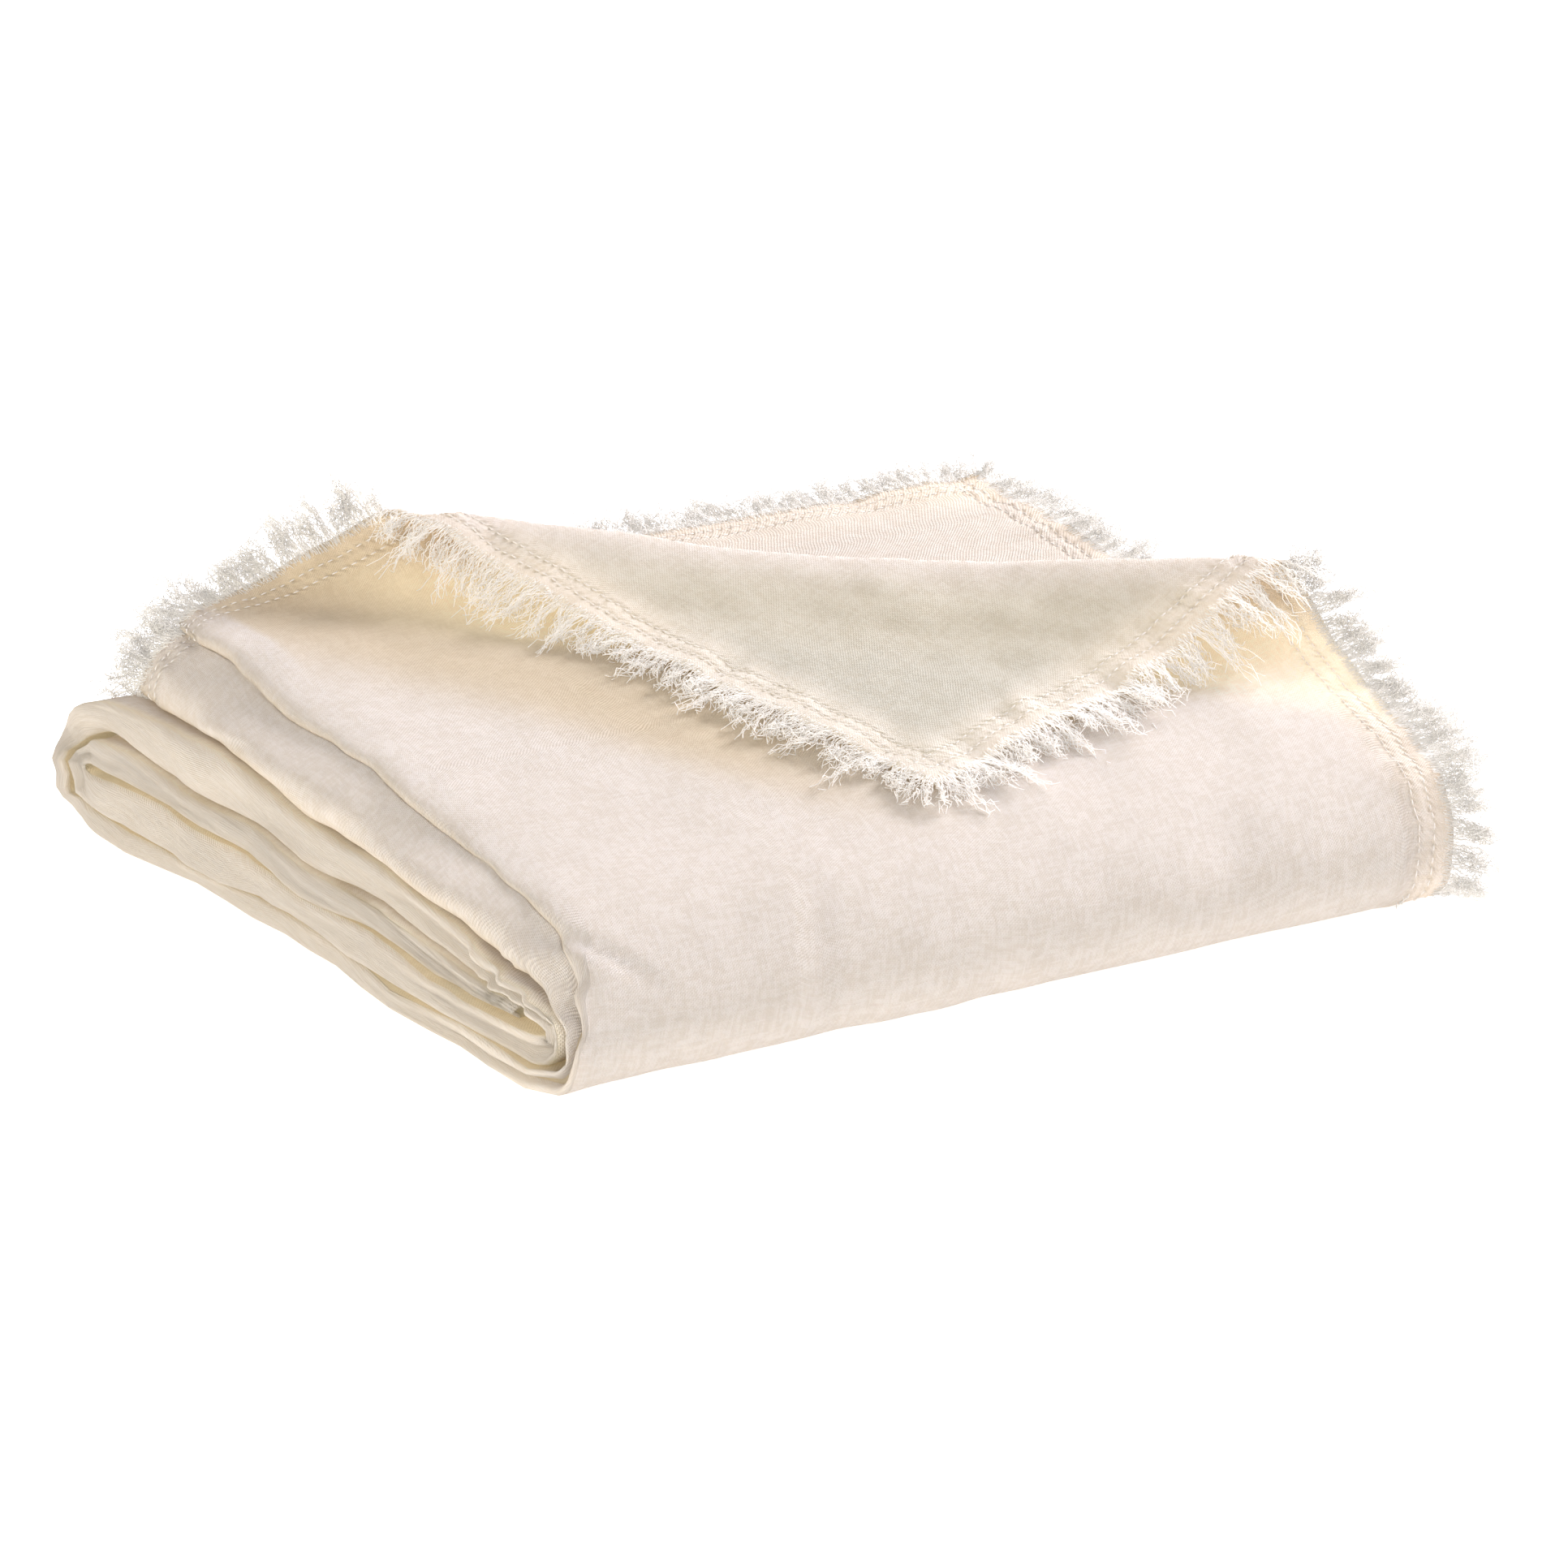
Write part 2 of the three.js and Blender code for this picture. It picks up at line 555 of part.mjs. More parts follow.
// One run of frayed edge: a narrow strip with tapered, curling locks fused to its outer face
function fringeMesh(grid, normals, run, seed) {
  const edge = rawEdge(grid, normals, run);
  const stations = fringeStations(edge);
  const points = stations.flatMap(({ length }) => stripCorners(edge, length));
  const triangles = [];
  const quad = (a, b, c, d) => triangles.push([a, b, c], [a, c, d]);
  quad(0, 3, 2, 1);
  for (let k = 0; k + 1 < stations.length; k += 1) {
    const near = 4 * k;
    const next = near + 4;
    const { length, holdsLock } = stations[k];
    for (const side of [0, 1, 2, 3]) {
      const turn = (side + 1) % 4;
      if (side !== OUTER_SIDE || !holdsLock) {
        quad(near + side, near + turn, next + turn, next + side);
      }
    }
    if (holdsLock) {
      addLock(points, triangles, edge, length, near, run, seed + k);
    }
  }
  const last = 4 * (stations.length - 1);
  quad(last, last + 1, last + 2, last + 3);
  const { out, normal } = edge[0];
  const way = edge[1].point.clone().sub(edge[0].point);
  if (out.clone().cross(way).dot(normal) < 0) {
    triangles.forEach((triangle) => triangle.reverse());
  }
  return solid(run.name, FRAYED_LINEN, points, triangles);
}

// One lock on the strip's outer face: a narrower middle section and a tip
function addLock(points, triangles, edge, start, near, run, seed) {
  const { out, normal } = edgeAt(edge, start + FRINGE.lockWidth / 2);
  const side = out.clone().cross(normal);
  const base = [near + 1, near + 2, near + 6, near + 5];
  const middle = base.reduce((sum, k) => sum.add(points[k]), new THREE.Vector3()).multiplyScalar(1 / 4);
  const reach = mix(FRINGE.shortest, FRINGE.longest, uneven(seed, 'reach'));
  const sway = FRINGE.sway * (uneven(seed, 'sway') - 0.5);
  const lift = mix(run.lowest, run.highest, uneven(seed, 'lift'));
  const along = (share) => {
    const at = middle.clone().addScaledVector(out, reach * share).addScaledVector(side, sway * share);
    at.z = Math.max(at.z + lift * share ** 2, CLOTH_THICKNESS / 2);
    return at;
  };
  const waist = along(FRINGE.waistAt);
  const ring = base.map((k) => {
    const offset = points[k].clone().sub(middle).multiplyScalar(FRINGE.waistShare);
    return points.push(waist.clone().add(offset)) - 1;
  });
  const tip = points.push(along(1)) - 1;
  for (const corner of [0, 1, 2, 3]) {
    const turn = (corner + 1) % 4;
    triangles.push([base[corner], base[turn], ring[turn]], [base[corner], ring[turn], ring[corner]]);
    triangles.push([ring[corner], ring[turn], tip]);
  }
}

// Mesh places where the runs of frayed edge begin and end: the crest, the left fold, the second
// layer and the foot of the front fold
const CREST_MARGIN = 8;
const CREST_LINE = BLOCK - BEND_LINES.findIndex((along) => along > LIFT_RUN + CREST_MARGIN);
const FOLD_END = BLOCK + SHOULDER_STEPS + SECTION[0].steps;
const LAST_COLUMN = BLOCK + SHOULDER_STEPS + SECTION.reduce((sum, { steps }) => sum + steps, 0);
const SECOND_START = LAST_COLUMN - SECTION.at(-1).steps;
const FRONT_FOOT = meshRows().findIndex((row) => row >= LAST_FRONT_ROW);

// The runs of frayed edge. side and column choose the edge, from and to count the cloth's mesh points
// along it; lowest and highest are how far a lock's tip may fall or rise.
const RIGHT = { side: 'right', column: 0 };
const UNDER_RIGHT = { side: 'right', column: LAST_COLUMN };
const RUNS = [
  { name: 'fringe_back', side: 'back', from: FOLD_END, to: CREST_LINE, lowest: -1, highest: 5 },
  { name: 'fringe_flap_left', side: 'back', from: CREST_LINE, to: 0, lowest: -0.6, highest: 3 },
  { name: 'fringe_flap_right', ...RIGHT, from: 0, to: CREST_LINE, lowest: -0.6, highest: 3 },
  { name: 'fringe_right', ...RIGHT, from: CREST_LINE, to: FRONT_FOOT, lowest: -2, highest: 4 },
  { name: 'fringe_under_back', side: 'back', from: SECOND_START, to: LAST_COLUMN, lowest: -2, highest: 3 },
  { name: 'fringe_under_right', ...UNDER_RIGHT, from: 0, to: CREST_LINE, lowest: -2, highest: 3 },
];

const grid = clothGrid();
const normals = gridNormals(grid);
const blanket = new THREE.Group();
blanket.add(clothMesh(grid, normals));
RUNS.forEach((run, k) => blanket.add(fringeMesh(grid, normals, run, LOCKS_APART * (k + 1))));

export default blanket;
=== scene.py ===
"""A folded linen throw with frayed, twin-stitched edges and one corner turned back."""
import math
from collections import namedtuple

import bpy
import numpy as np
from mathutils import Matrix, Vector


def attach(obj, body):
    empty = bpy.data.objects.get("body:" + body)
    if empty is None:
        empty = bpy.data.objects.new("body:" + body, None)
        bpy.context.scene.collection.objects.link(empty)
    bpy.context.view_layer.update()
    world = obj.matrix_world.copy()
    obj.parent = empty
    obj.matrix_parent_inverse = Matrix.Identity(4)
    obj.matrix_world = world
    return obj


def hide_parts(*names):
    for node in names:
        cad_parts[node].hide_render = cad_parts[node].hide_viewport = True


bl_info = {
    "name": "Folded linen throw",
    "version": (1, 0, 0),
    "blender": (4, 5, 0),
    "location": "View3D > Sidebar > Throw",
    "description": "Builds a folded linen throw with stitched hems and frayed edges",
    "category": "Object",
}

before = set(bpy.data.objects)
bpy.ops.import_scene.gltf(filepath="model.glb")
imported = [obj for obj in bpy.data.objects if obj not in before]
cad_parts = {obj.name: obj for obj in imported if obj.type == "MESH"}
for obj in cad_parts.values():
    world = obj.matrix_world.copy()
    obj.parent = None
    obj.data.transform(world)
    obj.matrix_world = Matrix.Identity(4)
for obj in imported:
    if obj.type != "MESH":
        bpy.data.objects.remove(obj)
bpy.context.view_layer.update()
BODY = "root"
MM = 0.001

# The folded strip seen along X, in millimetres, from the raw end of the top panel to the raw end rolled
# inside. y and z place the middle of the strip and half is half its thickness; left and right are its
# ends. lean sets its upper layer back from its lower one at the left fold, and pinch draws that fold in
# at mid height.
StripRow = namedtuple("StripRow", "part y z half left right lean pinch")
STRIP_PARTS = {
    "top": (
        (308, 53.0, 8.8, 17, 376, 27, 5),
        (262, 52.6, 8.6, 12, 371, 28, 8),
        (206, 50.4, 8.2, 8, 365, 28, 9),
        (150, 46.8, 7.6, 7, 359, 27, 9),
        (104, 42.8, 6.6, 7, 354, 26, 9),
        (66, 38.6, 5.4, 8, 348, 23, 9),
    ),
    "front": (
        (30, 33.0, 4.4, 8, 340, 16, 8),
        (9.5, 26.2, 3.9, 6, 332, 7, 9),
        (-1.6, 17.6, 3.6, 4, 326, 2, 10),
        (-4, 9.6, 3.5, 2, 322, 0, 9),
        (0.5, 4.7, 3.5, 0, 320, 0, 7),
    ),
    "bottom": (
        (12, 3.5, 3.5, -3, 320, 0, 5),
        (70, 3.5, 3.5, -5, 320, 0, 1),
        (130, 3.5, 3.5, 0.5, 322, 0, 0),
        (200, 3.5, 3.5, -0.5, 324, 0, 0),
        (278, 3.5, 3.5, -4.6, 326, 0, 0),
    ),
    "back": (
        (296, 4.9, 3.5, -5, 326, 0, 0),
        (304, 11.4, 3.5, -4, 326, 0, 0),
        (306, 22.4, 3.5, -2, 326, 0, 0),
        (299, 32.4, 4.0, 0, 326, 0, 0),
        (280, 36.8, 5.8, 3, 328, 0, 0),
    ),
    "second": (
        (240, 36.4, 6.6, 4, 328, 0, 0),
        (180, 33.8, 6.4, 4, 328, 0, 0),
        (110, 30.2, 5.3, 4.5, 326, 0, 1),
        (60, 27.0, 4.3, 5, 324, 0, 4),
    ),
    "inner front": (
        (36, 24.4, 3.3, 2, 322, 0, 4),
        (20, 21.4, 3.1, 3, 321, 0, 4),
        (12.4, 18.4, 3.0, 4, 321, 0, 5),
        (7.4, 14.4, 2.9, 4, 320, 0, 5),
        (7.6, 11.2, 2.8, 3, 320, 0, 4),
        (14, 10.2, 2.9, 0, 320, 0, 3),
    ),
    "fourth": (
        (70, 11.4, 4.2, -3, 320, 0, 2),
        (140, 12.2, 5.0, -1, 322, 0, 0),
        (220, 12.8, 5.4, -2, 322, 0, 0),
    ),
    "inner back": (
        (268, 13.4, 5.6, -4, 322, 0, 0),
        (286, 13.4, 4.7, -4, 322, 0, 2),
        (293.4, 15.0, 4.4, -3, 322, 0, 3),
        (296.6, 19.3, 4.3, -2, 322, 0, 3),
        (293.4, 23.8, 4.4, -2, 322, 0, 3),
        (286, 25.5, 4.7, -2, 322, 0, 2),
    ),
    "middle": (
        (260, 24.6, 5.3, 0, 322, 0, 0),
        (210, 23.2, 4.9, 1, 322, 0, 0),
        (140, 21.6, 4.3, 1, 322, 0, 0),
        (80, 19.6, 3.6, 1.5, 321, 0, 0),
        (40, 17.6, 3.0, 2.5, 320, 0, 0),
        (26, 16.4, 2.5, 3, 320, 0, 0),
    ),
}
STRIP = tuple(StripRow(part, *row) for part, rows in STRIP_PARTS.items() for row in rows)
# Longest mesh step along the strip in each of its parts
ROW_STEP = {
    "top": 3.4, "front": 2.2, "bottom": 20, "back": 4, "second": 8,
    "inner front": 2.4, "fourth": 11, "inner back": 3, "middle": 11,
}
# The part's origin in the table's millimetres
ORIGIN = np.array([170.0, 150.0, 0.0])
# How far the left fold bulges, as a share of the strip's half thickness. Folds with little lean are pressed
# flat against each other; where the lean is large, the top layer rolls over the slanted face of the layers
# below it.
FOLD_BULGE = 0.9
FLAT_FOLD_BULGE = 0.55
ROUND_FOLD_LEAN = 20.0
# Share of a flat fold's depth that is its gentle rounding; the rest turns in close to its creases
FOLD_ROUNDING = 0.3
CREASE_POWER = 10
# The rolled left face from its upper to its lower end: its reach and rise at shares of its length
RollRow = namedtuple("RollRow", "share reach rise")
ROLL = tuple(RollRow(*row) for row in (
    (0.00, 1.000, 1.00), (0.12, 0.820, 0.97), (0.22, 0.680, 0.88), (0.30, 0.605, 0.74),
    (0.36, 0.590, 0.61), (0.42, 0.602, 0.51), (0.48, 0.540, 0.43), (0.60, 0.300, 0.16),
    (0.72, 0.090, -0.16), (0.82, 0.005, -0.56), (0.90, 0.000, -0.88), (0.94, 0.040, -1.00),
    (1.00, 0.200, -1.00),
))
# Insets of the inner layers' ends from those of the top layer, setbacks of their raw back ends, and the
# angle over which the left fold is drawn in
INNER_FOLD_INSET = 2.0
SECOND_LAYER_INSET = 18.5
RIGHT_FOLD_INSET = 24.0
SECOND_LAYER_SETBACK = -1.0
LOWER_LAYERS_SETBACK = 28.0
PINCH_ANGLE = 0.6
# Rows of the table where the top panel and the front fold end, and the frontmost one
LAST_TOP_ROW = max(i for i, row in enumerate(STRIP) if row.part == "top")
LAST_FRONT_ROW = max(i for i, row in enumerate(STRIP) if row.part == "front")
FRONTMOST_ROW = LAST_FRONT_ROW - 2

# The turned corner: the ends of its crest seen from above, how far before the crest the cloth lifts off,
# the distance along the cloth from there to the crest, and how far the corner's tip is drawn out
CREST_BACK = np.array([111.0, 304.0])
CREST_RIGHT = np.array([357.0, 117.0])
LIFT_RUN = 52.0
CREST_ALONG = 63.0
CORNER_REACH = 10.0
CORNER_DRAW = 7.0
# Ranges of width and depth over which the corner is drawn out
CORNER_FROM_LEFT = (150, 376)
CORNER_FROM_FRONT = (120, 308)
# The corner's bend drawn square to the crest, from where it lifts off
BendRow = namedtuple("BendRow", "run rise")
BEND = tuple(BendRow(*row) for row in (
    (0, 0), (16, 1.2), (30, 5.5), (42, 12.5), (50, 18.5), (53.5, 22),
    (50, 24.4), (42, 23.2), (32, 20.2), (20, 16), (4, 9.4), (-18, 5.8),
    (-48, 4.2), (-150, 3.4),
))
# How much the crest sags between its ends, above what height, and the distance over which the lift fades
# towards the left fold
CREST_SAG = 0.5
SAG_POWER = 1.5
SAG_FLOOR = 4.0
LIFT_FADE = 30.0
# Stands for a place far from the turned corner
OFF_THE_TOP = 200.0
# Least share of the reverse face that counts as turned
BARELY_TURNED = 0.05
# Number of points that trace the top panel's upper layer
PANEL_POINTS = 1500
# Half light on the panel beside the turned corner: its shift from the raised edge and its spread where the
# edge stands highest, the shares of the edge from the tip between which it sets in, and its strength
Shade = namedtuple("Shade", "shift spread starts strength")
LEFT_SHADE = Shade(np.array([-33.0, -20.0]), 49.0, (-0.1, 0.4), 0.88)
RIGHT_SHADE = Shade(np.array([3.0, -6.0]), 13.0, (0.4, 0.8), 0.4)
# Its size at the tip as a share of that, and how sharply it ends
SHADE_AT_TIP = 0.35
SHADE_POWER = 4
# Warm half light on the second layer, where bands press together, and in the valley and on the underside
# of the rolled face
SECOND_LAYER_WARMTH = 0.18
PRESSED_WARMTH = 0.35
PRESSED_SHARES = (0.7, 1.0)
VALLEY_WARMTH = 0.3
VALLEY_PLACE = 0.37
VALLEY_WIDTH = 0.07
UNDERSIDE_SHARES = (0.8, 0.98)
# Distances past the crest where the reverse face sets in, and where light through the lifted cloth sets
# in and ends; then the widths over which that light sets in and wanes
REVERSE_PAST_CREST = (-4, 30)
GLOW_SETS_IN = (-82, -56)
GLOW_ENDS = (-34, -14)
GLOW_FROM_LEFT = (70, 132)
GLOW_WANES = (240, 330)
GLOW_WANES_BY = 0.1
# Shares of that light on the faces of the inner bands and in the creases between them
BAND_GLOW = (0.2, 0.6)
CREASE_SHARES = (0.6, 1.0)
# Its share on the turned hem, where it passes a single layer, and the distances from the raw edge over
# which it ends
HEM_GLOW = 0.38
HEM_GLOW_ENDS = (11, 29)
# Share of the reverse face's tone, partly painted shade, that is left at the raw edge, and the distances
# over which it sets in
REVERSE_AT_EDGE = 0.12
REVERSE_FROM_EDGE = (5, 32)

# Soft creases drawn on the flat cloth, in millimetres from its raw right edge and its raw back edge
Crease = namedtuple("Crease", "start end width height")
# Shares of a crease's length over which it sets in and ends
CREASE_STARTS = (-0.15, 0.2)
CREASE_ENDS = (0.8, 1.15)
CREASES = (
    Crease((31, 78), (0, 52), 5, -2.0),
    Crease((44, 84), (10, 66), 6, 1.0),
    Crease((150, 20), (95, 75), 16, 0.9),
    Crease((205, 10), (170, 60), 14, -0.8),
    Crease((90, 95), (40, 130), 15, 0.8),
    Crease((250, 235), (180, 330), 22, 0.9),
    Crease((120, 240), (60, 335), 20, -0.7),
    Crease((300, 150), (245, 270), 24, -0.7),
    Crease((325, 330), (285, 372), 15, 0.4),
    Crease((300, 322), (262, 380), 16, -0.4),
)
# Crumples pressed into the left face at the near corner, drawn over depth and height
FACE_CREASES = (
    Crease((54, 29), (37, 22), 3.0, 2.0),
    Crease((47, 21), (34, 31), 2.6, -2.4),
    Crease((40, 32), (26, 25), 3.0, 2.0),
    Crease((31, 29), (22, 18), 3.0, -2.6),
    Crease((30, 19), (17, 24), 2.6, 1.8),
)
# Distances from the raw edge over which the hem's puckers set in and end, and the edge's waves end
PUCKER_SETS_IN = (0, 3)
PUCKER_ENDS = (15, 24)
EDGE_WAVE_ENDS = (3, 28)
# Distance from a corner over which its loose threads spread like a fan, and how strongly they do
CORNER_FAN = 9.0
FAN_STRENGTH = 1.3

# Uneven waves in the cloth: their height and length in millimetres and the seed of their phases
Waves = namedtuple("Waves", "height length seed")
LOOSE_WAVES = (Waves(0.4, 52, 3), Waves(0.16, 19, 4))
TURNED_WAVES = Waves(0.28, 17, 8)
HEM_PUCKER = Waves(0.5, 9.5, 5)
HEM_RUMPLE = Waves(0.35, 12, 6)
EDGE_WAVE = Waves(1.0, 36, 7)
BAND_RISE = Waves(1.5, 85, 21)
BAND_BULGES = (Waves(1.3, 58, 22), Waves(0.65, 23, 23))
CRUMPLES = tuple(Waves(1.8, 17, seed) for seed in (31, 32, 33))
# Waves along a line: their shares of the set length and what evens their sum; then the number and the
# range of shares of those over a surface
RIPPLE_LENGTHS = (1.0, 0.63, 1.58, 2.7)
RIPPLE_EVENS = 2.4
RUMPLE_COUNT = 9
RUMPLE_LENGTHS = (0.7, 1.6)
# How much shorter the bands' waves are in height than in depth, and the slant of the crumples
RISE_STRETCH = 4.0
BULGE_STRETCH = 3.0
CRUMPLE_SLANT = (1.2, 0.7, 1.3)
# Where the uneven bands end in width and set in above the ground, and where the crumples lie and end
BANDS_END = (25, 110)
ABOVE_GROUND = (0.5, 12)
CrumpledCorner = namedtuple("CrumpledCorner", "depth reach")
CRUMPLED_CORNERS = (CrumpledCorner(14, 16), CrumpledCorner(296, 14))
CRUMPLES_END_ABOVE = (32, 42)
CRUMPLES_END_INSIDE = (18, 55)

# Pieces of the section in order from one raw edge to the other, with their mesh steps and setbacks
# from the top layer's raw back end
SectionPiece = namedtuple("SectionPiece", "name steps start_setback end_setback")
SECTION = (
    SectionPiece("top layer", 96, 0, 0),
    SectionPiece("outer fold", 34, 0, LOWER_LAYERS_SETBACK),
    SectionPiece("fourth layer", 4, LOWER_LAYERS_SETBACK, LOWER_LAYERS_SETBACK),
    SectionPiece("right fold", 4, LOWER_LAYERS_SETBACK, LOWER_LAYERS_SETBACK),
    SectionPiece("third layer", 4, LOWER_LAYERS_SETBACK, LOWER_LAYERS_SETBACK),
    SectionPiece("inner fold", 5, LOWER_LAYERS_SETBACK, SECOND_LAYER_SETBACK),
    SectionPiece("second layer", 20, SECOND_LAYER_SETBACK, SECOND_LAYER_SETBACK),
)
PIECE_NAMES = tuple(piece.name for piece in SECTION)
# How the mesh crowds towards the raw edges
TOP_CROWDING = 1.12
SECOND_CROWDING = 1.9

# Camera place in metres, its turn and drop, its lens and film in millimetres, and how far it sees in metres
CAMERA_PLACE = Vector((-1.18472, -1.85711, 0.77329))
CAMERA_TURN = math.radians(32.6587)
CAMERA_DROP = math.radians(18.8176)
CAMERA_LENS = 167.70
CAMERA_FILM = 36.0
CAMERA_SIGHT = 50.0
# Wide pale floor, the even light from all round, and the soft lamps with their shares of the light power
FLOOR_REACH = 6.0
FLOOR_COLOUR = (0.86, 0.86, 0.86)
FLOOR_GLOW = 0.64
SKY_COLOUR = (1.0, 0.985, 1.03)
LAMP_AIM = Vector((0, 0, 0.03))
Lamp = namedtuple("Lamp", "name place size share colour")
LAMPS = (
    Lamp("right", (2.08, 0.50, 0.90), 0.7, 1.02, (1.0, 0.985, 1.06)),
    Lamp("low left", (-2.28, -0.30, 0.14), 1.6, 0.61, (1.0, 0.955, 0.81)),
    Lamp("front", (0.60, -1.60, 1.55), 1.6, 0.155, (1.0, 0.985, 0.95)),
)


def cubic(start, end, leave, arrive, t):
    """A smooth curve from one value to another with its slopes at both, over t from 0 to 1."""
    return (start * (2 * t**3 - 3 * t**2 + 1) + leave * (t**3 - 2 * t**2 + t)
            + end * (3 * t**2 - 2 * t**3) + arrive * (t**3 - t**2))


class Strip:
    """The folded strip's table as smooth curves over its row number."""

    Place = namedtuple("Place", "y z half left right lean pinch normal_y normal_z")

    def __init__(self, rows):
        self.values = np.array([row[1:] for row in rows], dtype=float)
        steps = np.diff(self.values, axis=0)
        self.spans = np.hypot(steps[:, 0], steps[:, 1])
        rates = steps / self.spans[:, None]
        self.slopes = np.vstack([rates[:1], self._inner_slopes(rates), rates[-1:]])

    def _inner_slopes(self, rates):
        """Slopes at the rows between the ends, flat where a column turns back."""
        before, after = rates[:-1], rates[1:]
        early = (2 * self.spans[1:] + self.spans[:-1])[:, None]
        late = (self.spans[1:] + 2 * self.spans[:-1])[:, None]
        same_way = before * after > 0
        safe_before = np.where(same_way, before, 1.0)
        safe_after = np.where(same_way, after, 1.0)
        return np.where(same_way, (early + late) / (early / safe_before + late / safe_after), 0.0)

    def at(self, number):
        """Values of the strip's columns and its unit normal at row numbers with fractions."""
        number = np.asarray(number, dtype=float)
        i = np.clip(np.floor(number).astype(int), 0, len(self.spans) - 1)
        t = (number - i)[..., None]
        span = self.spans[i][..., None]
        start, end = self.values[i], self.values[i + 1]
        leave, arrive = self.slopes[i] * span, self.slopes[i + 1] * span
        value = cubic(start, end, leave, arrive, t)
        rate = ((start - end) * (6 * t**2 - 6 * t) + leave * (3 * t**2 - 4 * t + 1)
                + arrive * (3 * t**2 - 2 * t))
        speed = np.hypot(rate[..., 0], rate[..., 1])
        return self.Place(*np.moveaxis(value, -1, 0), rate[..., 1] / speed, -rate[..., 0] / speed)


class Roll:
    """The rolled left face as smooth curves of its reach and rise over the share of its length."""

    def __init__(self, rows):
        self.table = np.array(rows, dtype=float)
        self.rates = np.gradient(self.table[:, 1:], self.table[:, 0], axis=0)

    def at(self, share):
        """Reach and rise at one share."""
        shares = self.table[:, 0]
        i = int(np.clip(np.searchsorted(shares, share, side="right") - 1, 0, len(shares) - 2))
        span = shares[i + 1] - shares[i]
        t = (share - shares[i]) / span
        start, end = self.table[i:i + 2, 1:]
        leave, arrive = span * self.rates[i:i + 2]
        reach, rise = cubic(start, end, leave, arrive, t)
        return float(reach), float(rise)


class Bend:
    """The turned corner's bend as run and rise over the distance along the cloth."""

    FINENESS = 60

    def __init__(self, rows):
        points = np.array(rows, dtype=float)
        chords = np.linalg.norm(np.diff(points, axis=0), axis=1)
        place = np.concatenate([[0.0], np.cumsum(chords)])
        rates = np.gradient(points, place, axis=0)
        fine = np.linspace(0, 1, self.FINENESS, endpoint=False)[:, None]
        pieces = [cubic(points[i], points[i + 1], chord * rates[i], chord * rates[i + 1], fine)
                  for i, chord in enumerate(chords)]
        self.line = np.vstack(pieces + [points[-1:]])
        steps = np.linalg.norm(np.diff(self.line, axis=0), axis=1)
        self.lengths = np.concatenate([[0.0], np.cumsum(steps)])

    def at(self, along):
        """Run and rise at distances along the bent cloth."""
        run, rise = self.line.T
        return np.interp(along, self.lengths, run), np.interp(along, self.lengths, rise)


def mix(a, b, share):
    """Straight mixing of two values."""
    return a + (b - a) * share


def smooth_step(value, low, high):
    """0 below low, 1 above high and a smooth rise between."""
    share = np.clip((value - low) / (high - low), 0.0, 1.0)
    return share * share * (3 - 2 * share)


def crease_depth(across, along, crease):
    """Height of one soft crease, a trough where it is below nought, over the flat cloth."""
    start, end = np.array(crease.start), np.array(crease.end)
    way = end - start
    length = np.hypot(*way)
    way = way / length
    forward = (across - start[0]) * way[0] + (along - start[1]) * way[1]
    aside = (across - start[0]) * -way[1] + (along - start[1]) * way[0]
    share = forward / length
    runs = smooth_step(share, *CREASE_STARTS) * (1 - smooth_step(share, *CREASE_ENDS))
    return crease.height * runs * np.exp(-((aside / crease.width) ** 2))


def ripple(place, waves):
    """Uneven waves along a line."""
    chance = np.random.default_rng(waves.seed)
    total = np.zeros_like(place)
    for share in RIPPLE_LENGTHS:
        total = total + np.sin(2 * np.pi * place / (waves.length * share) + chance.uniform(0, 2 * np.pi))
    return waves.height * total / RIPPLE_EVENS


def rumple(across, along, waves):
    """Uneven waves over a surface."""
    chance = np.random.default_rng(waves.seed)
    total = np.zeros_like(across)
    for _ in range(RUMPLE_COUNT):
        turn = chance.uniform(0, 2 * np.pi)
        length = waves.length * chance.uniform(*RUMPLE_LENGTHS)
        way = (across * np.cos(turn) + along * np.sin(turn)) / length
        total = total + np.sin(2 * np.pi * way + chance.uniform(0, 2 * np.pi))
    return waves.height * total / np.sqrt(2.0 * RUMPLE_COUNT)


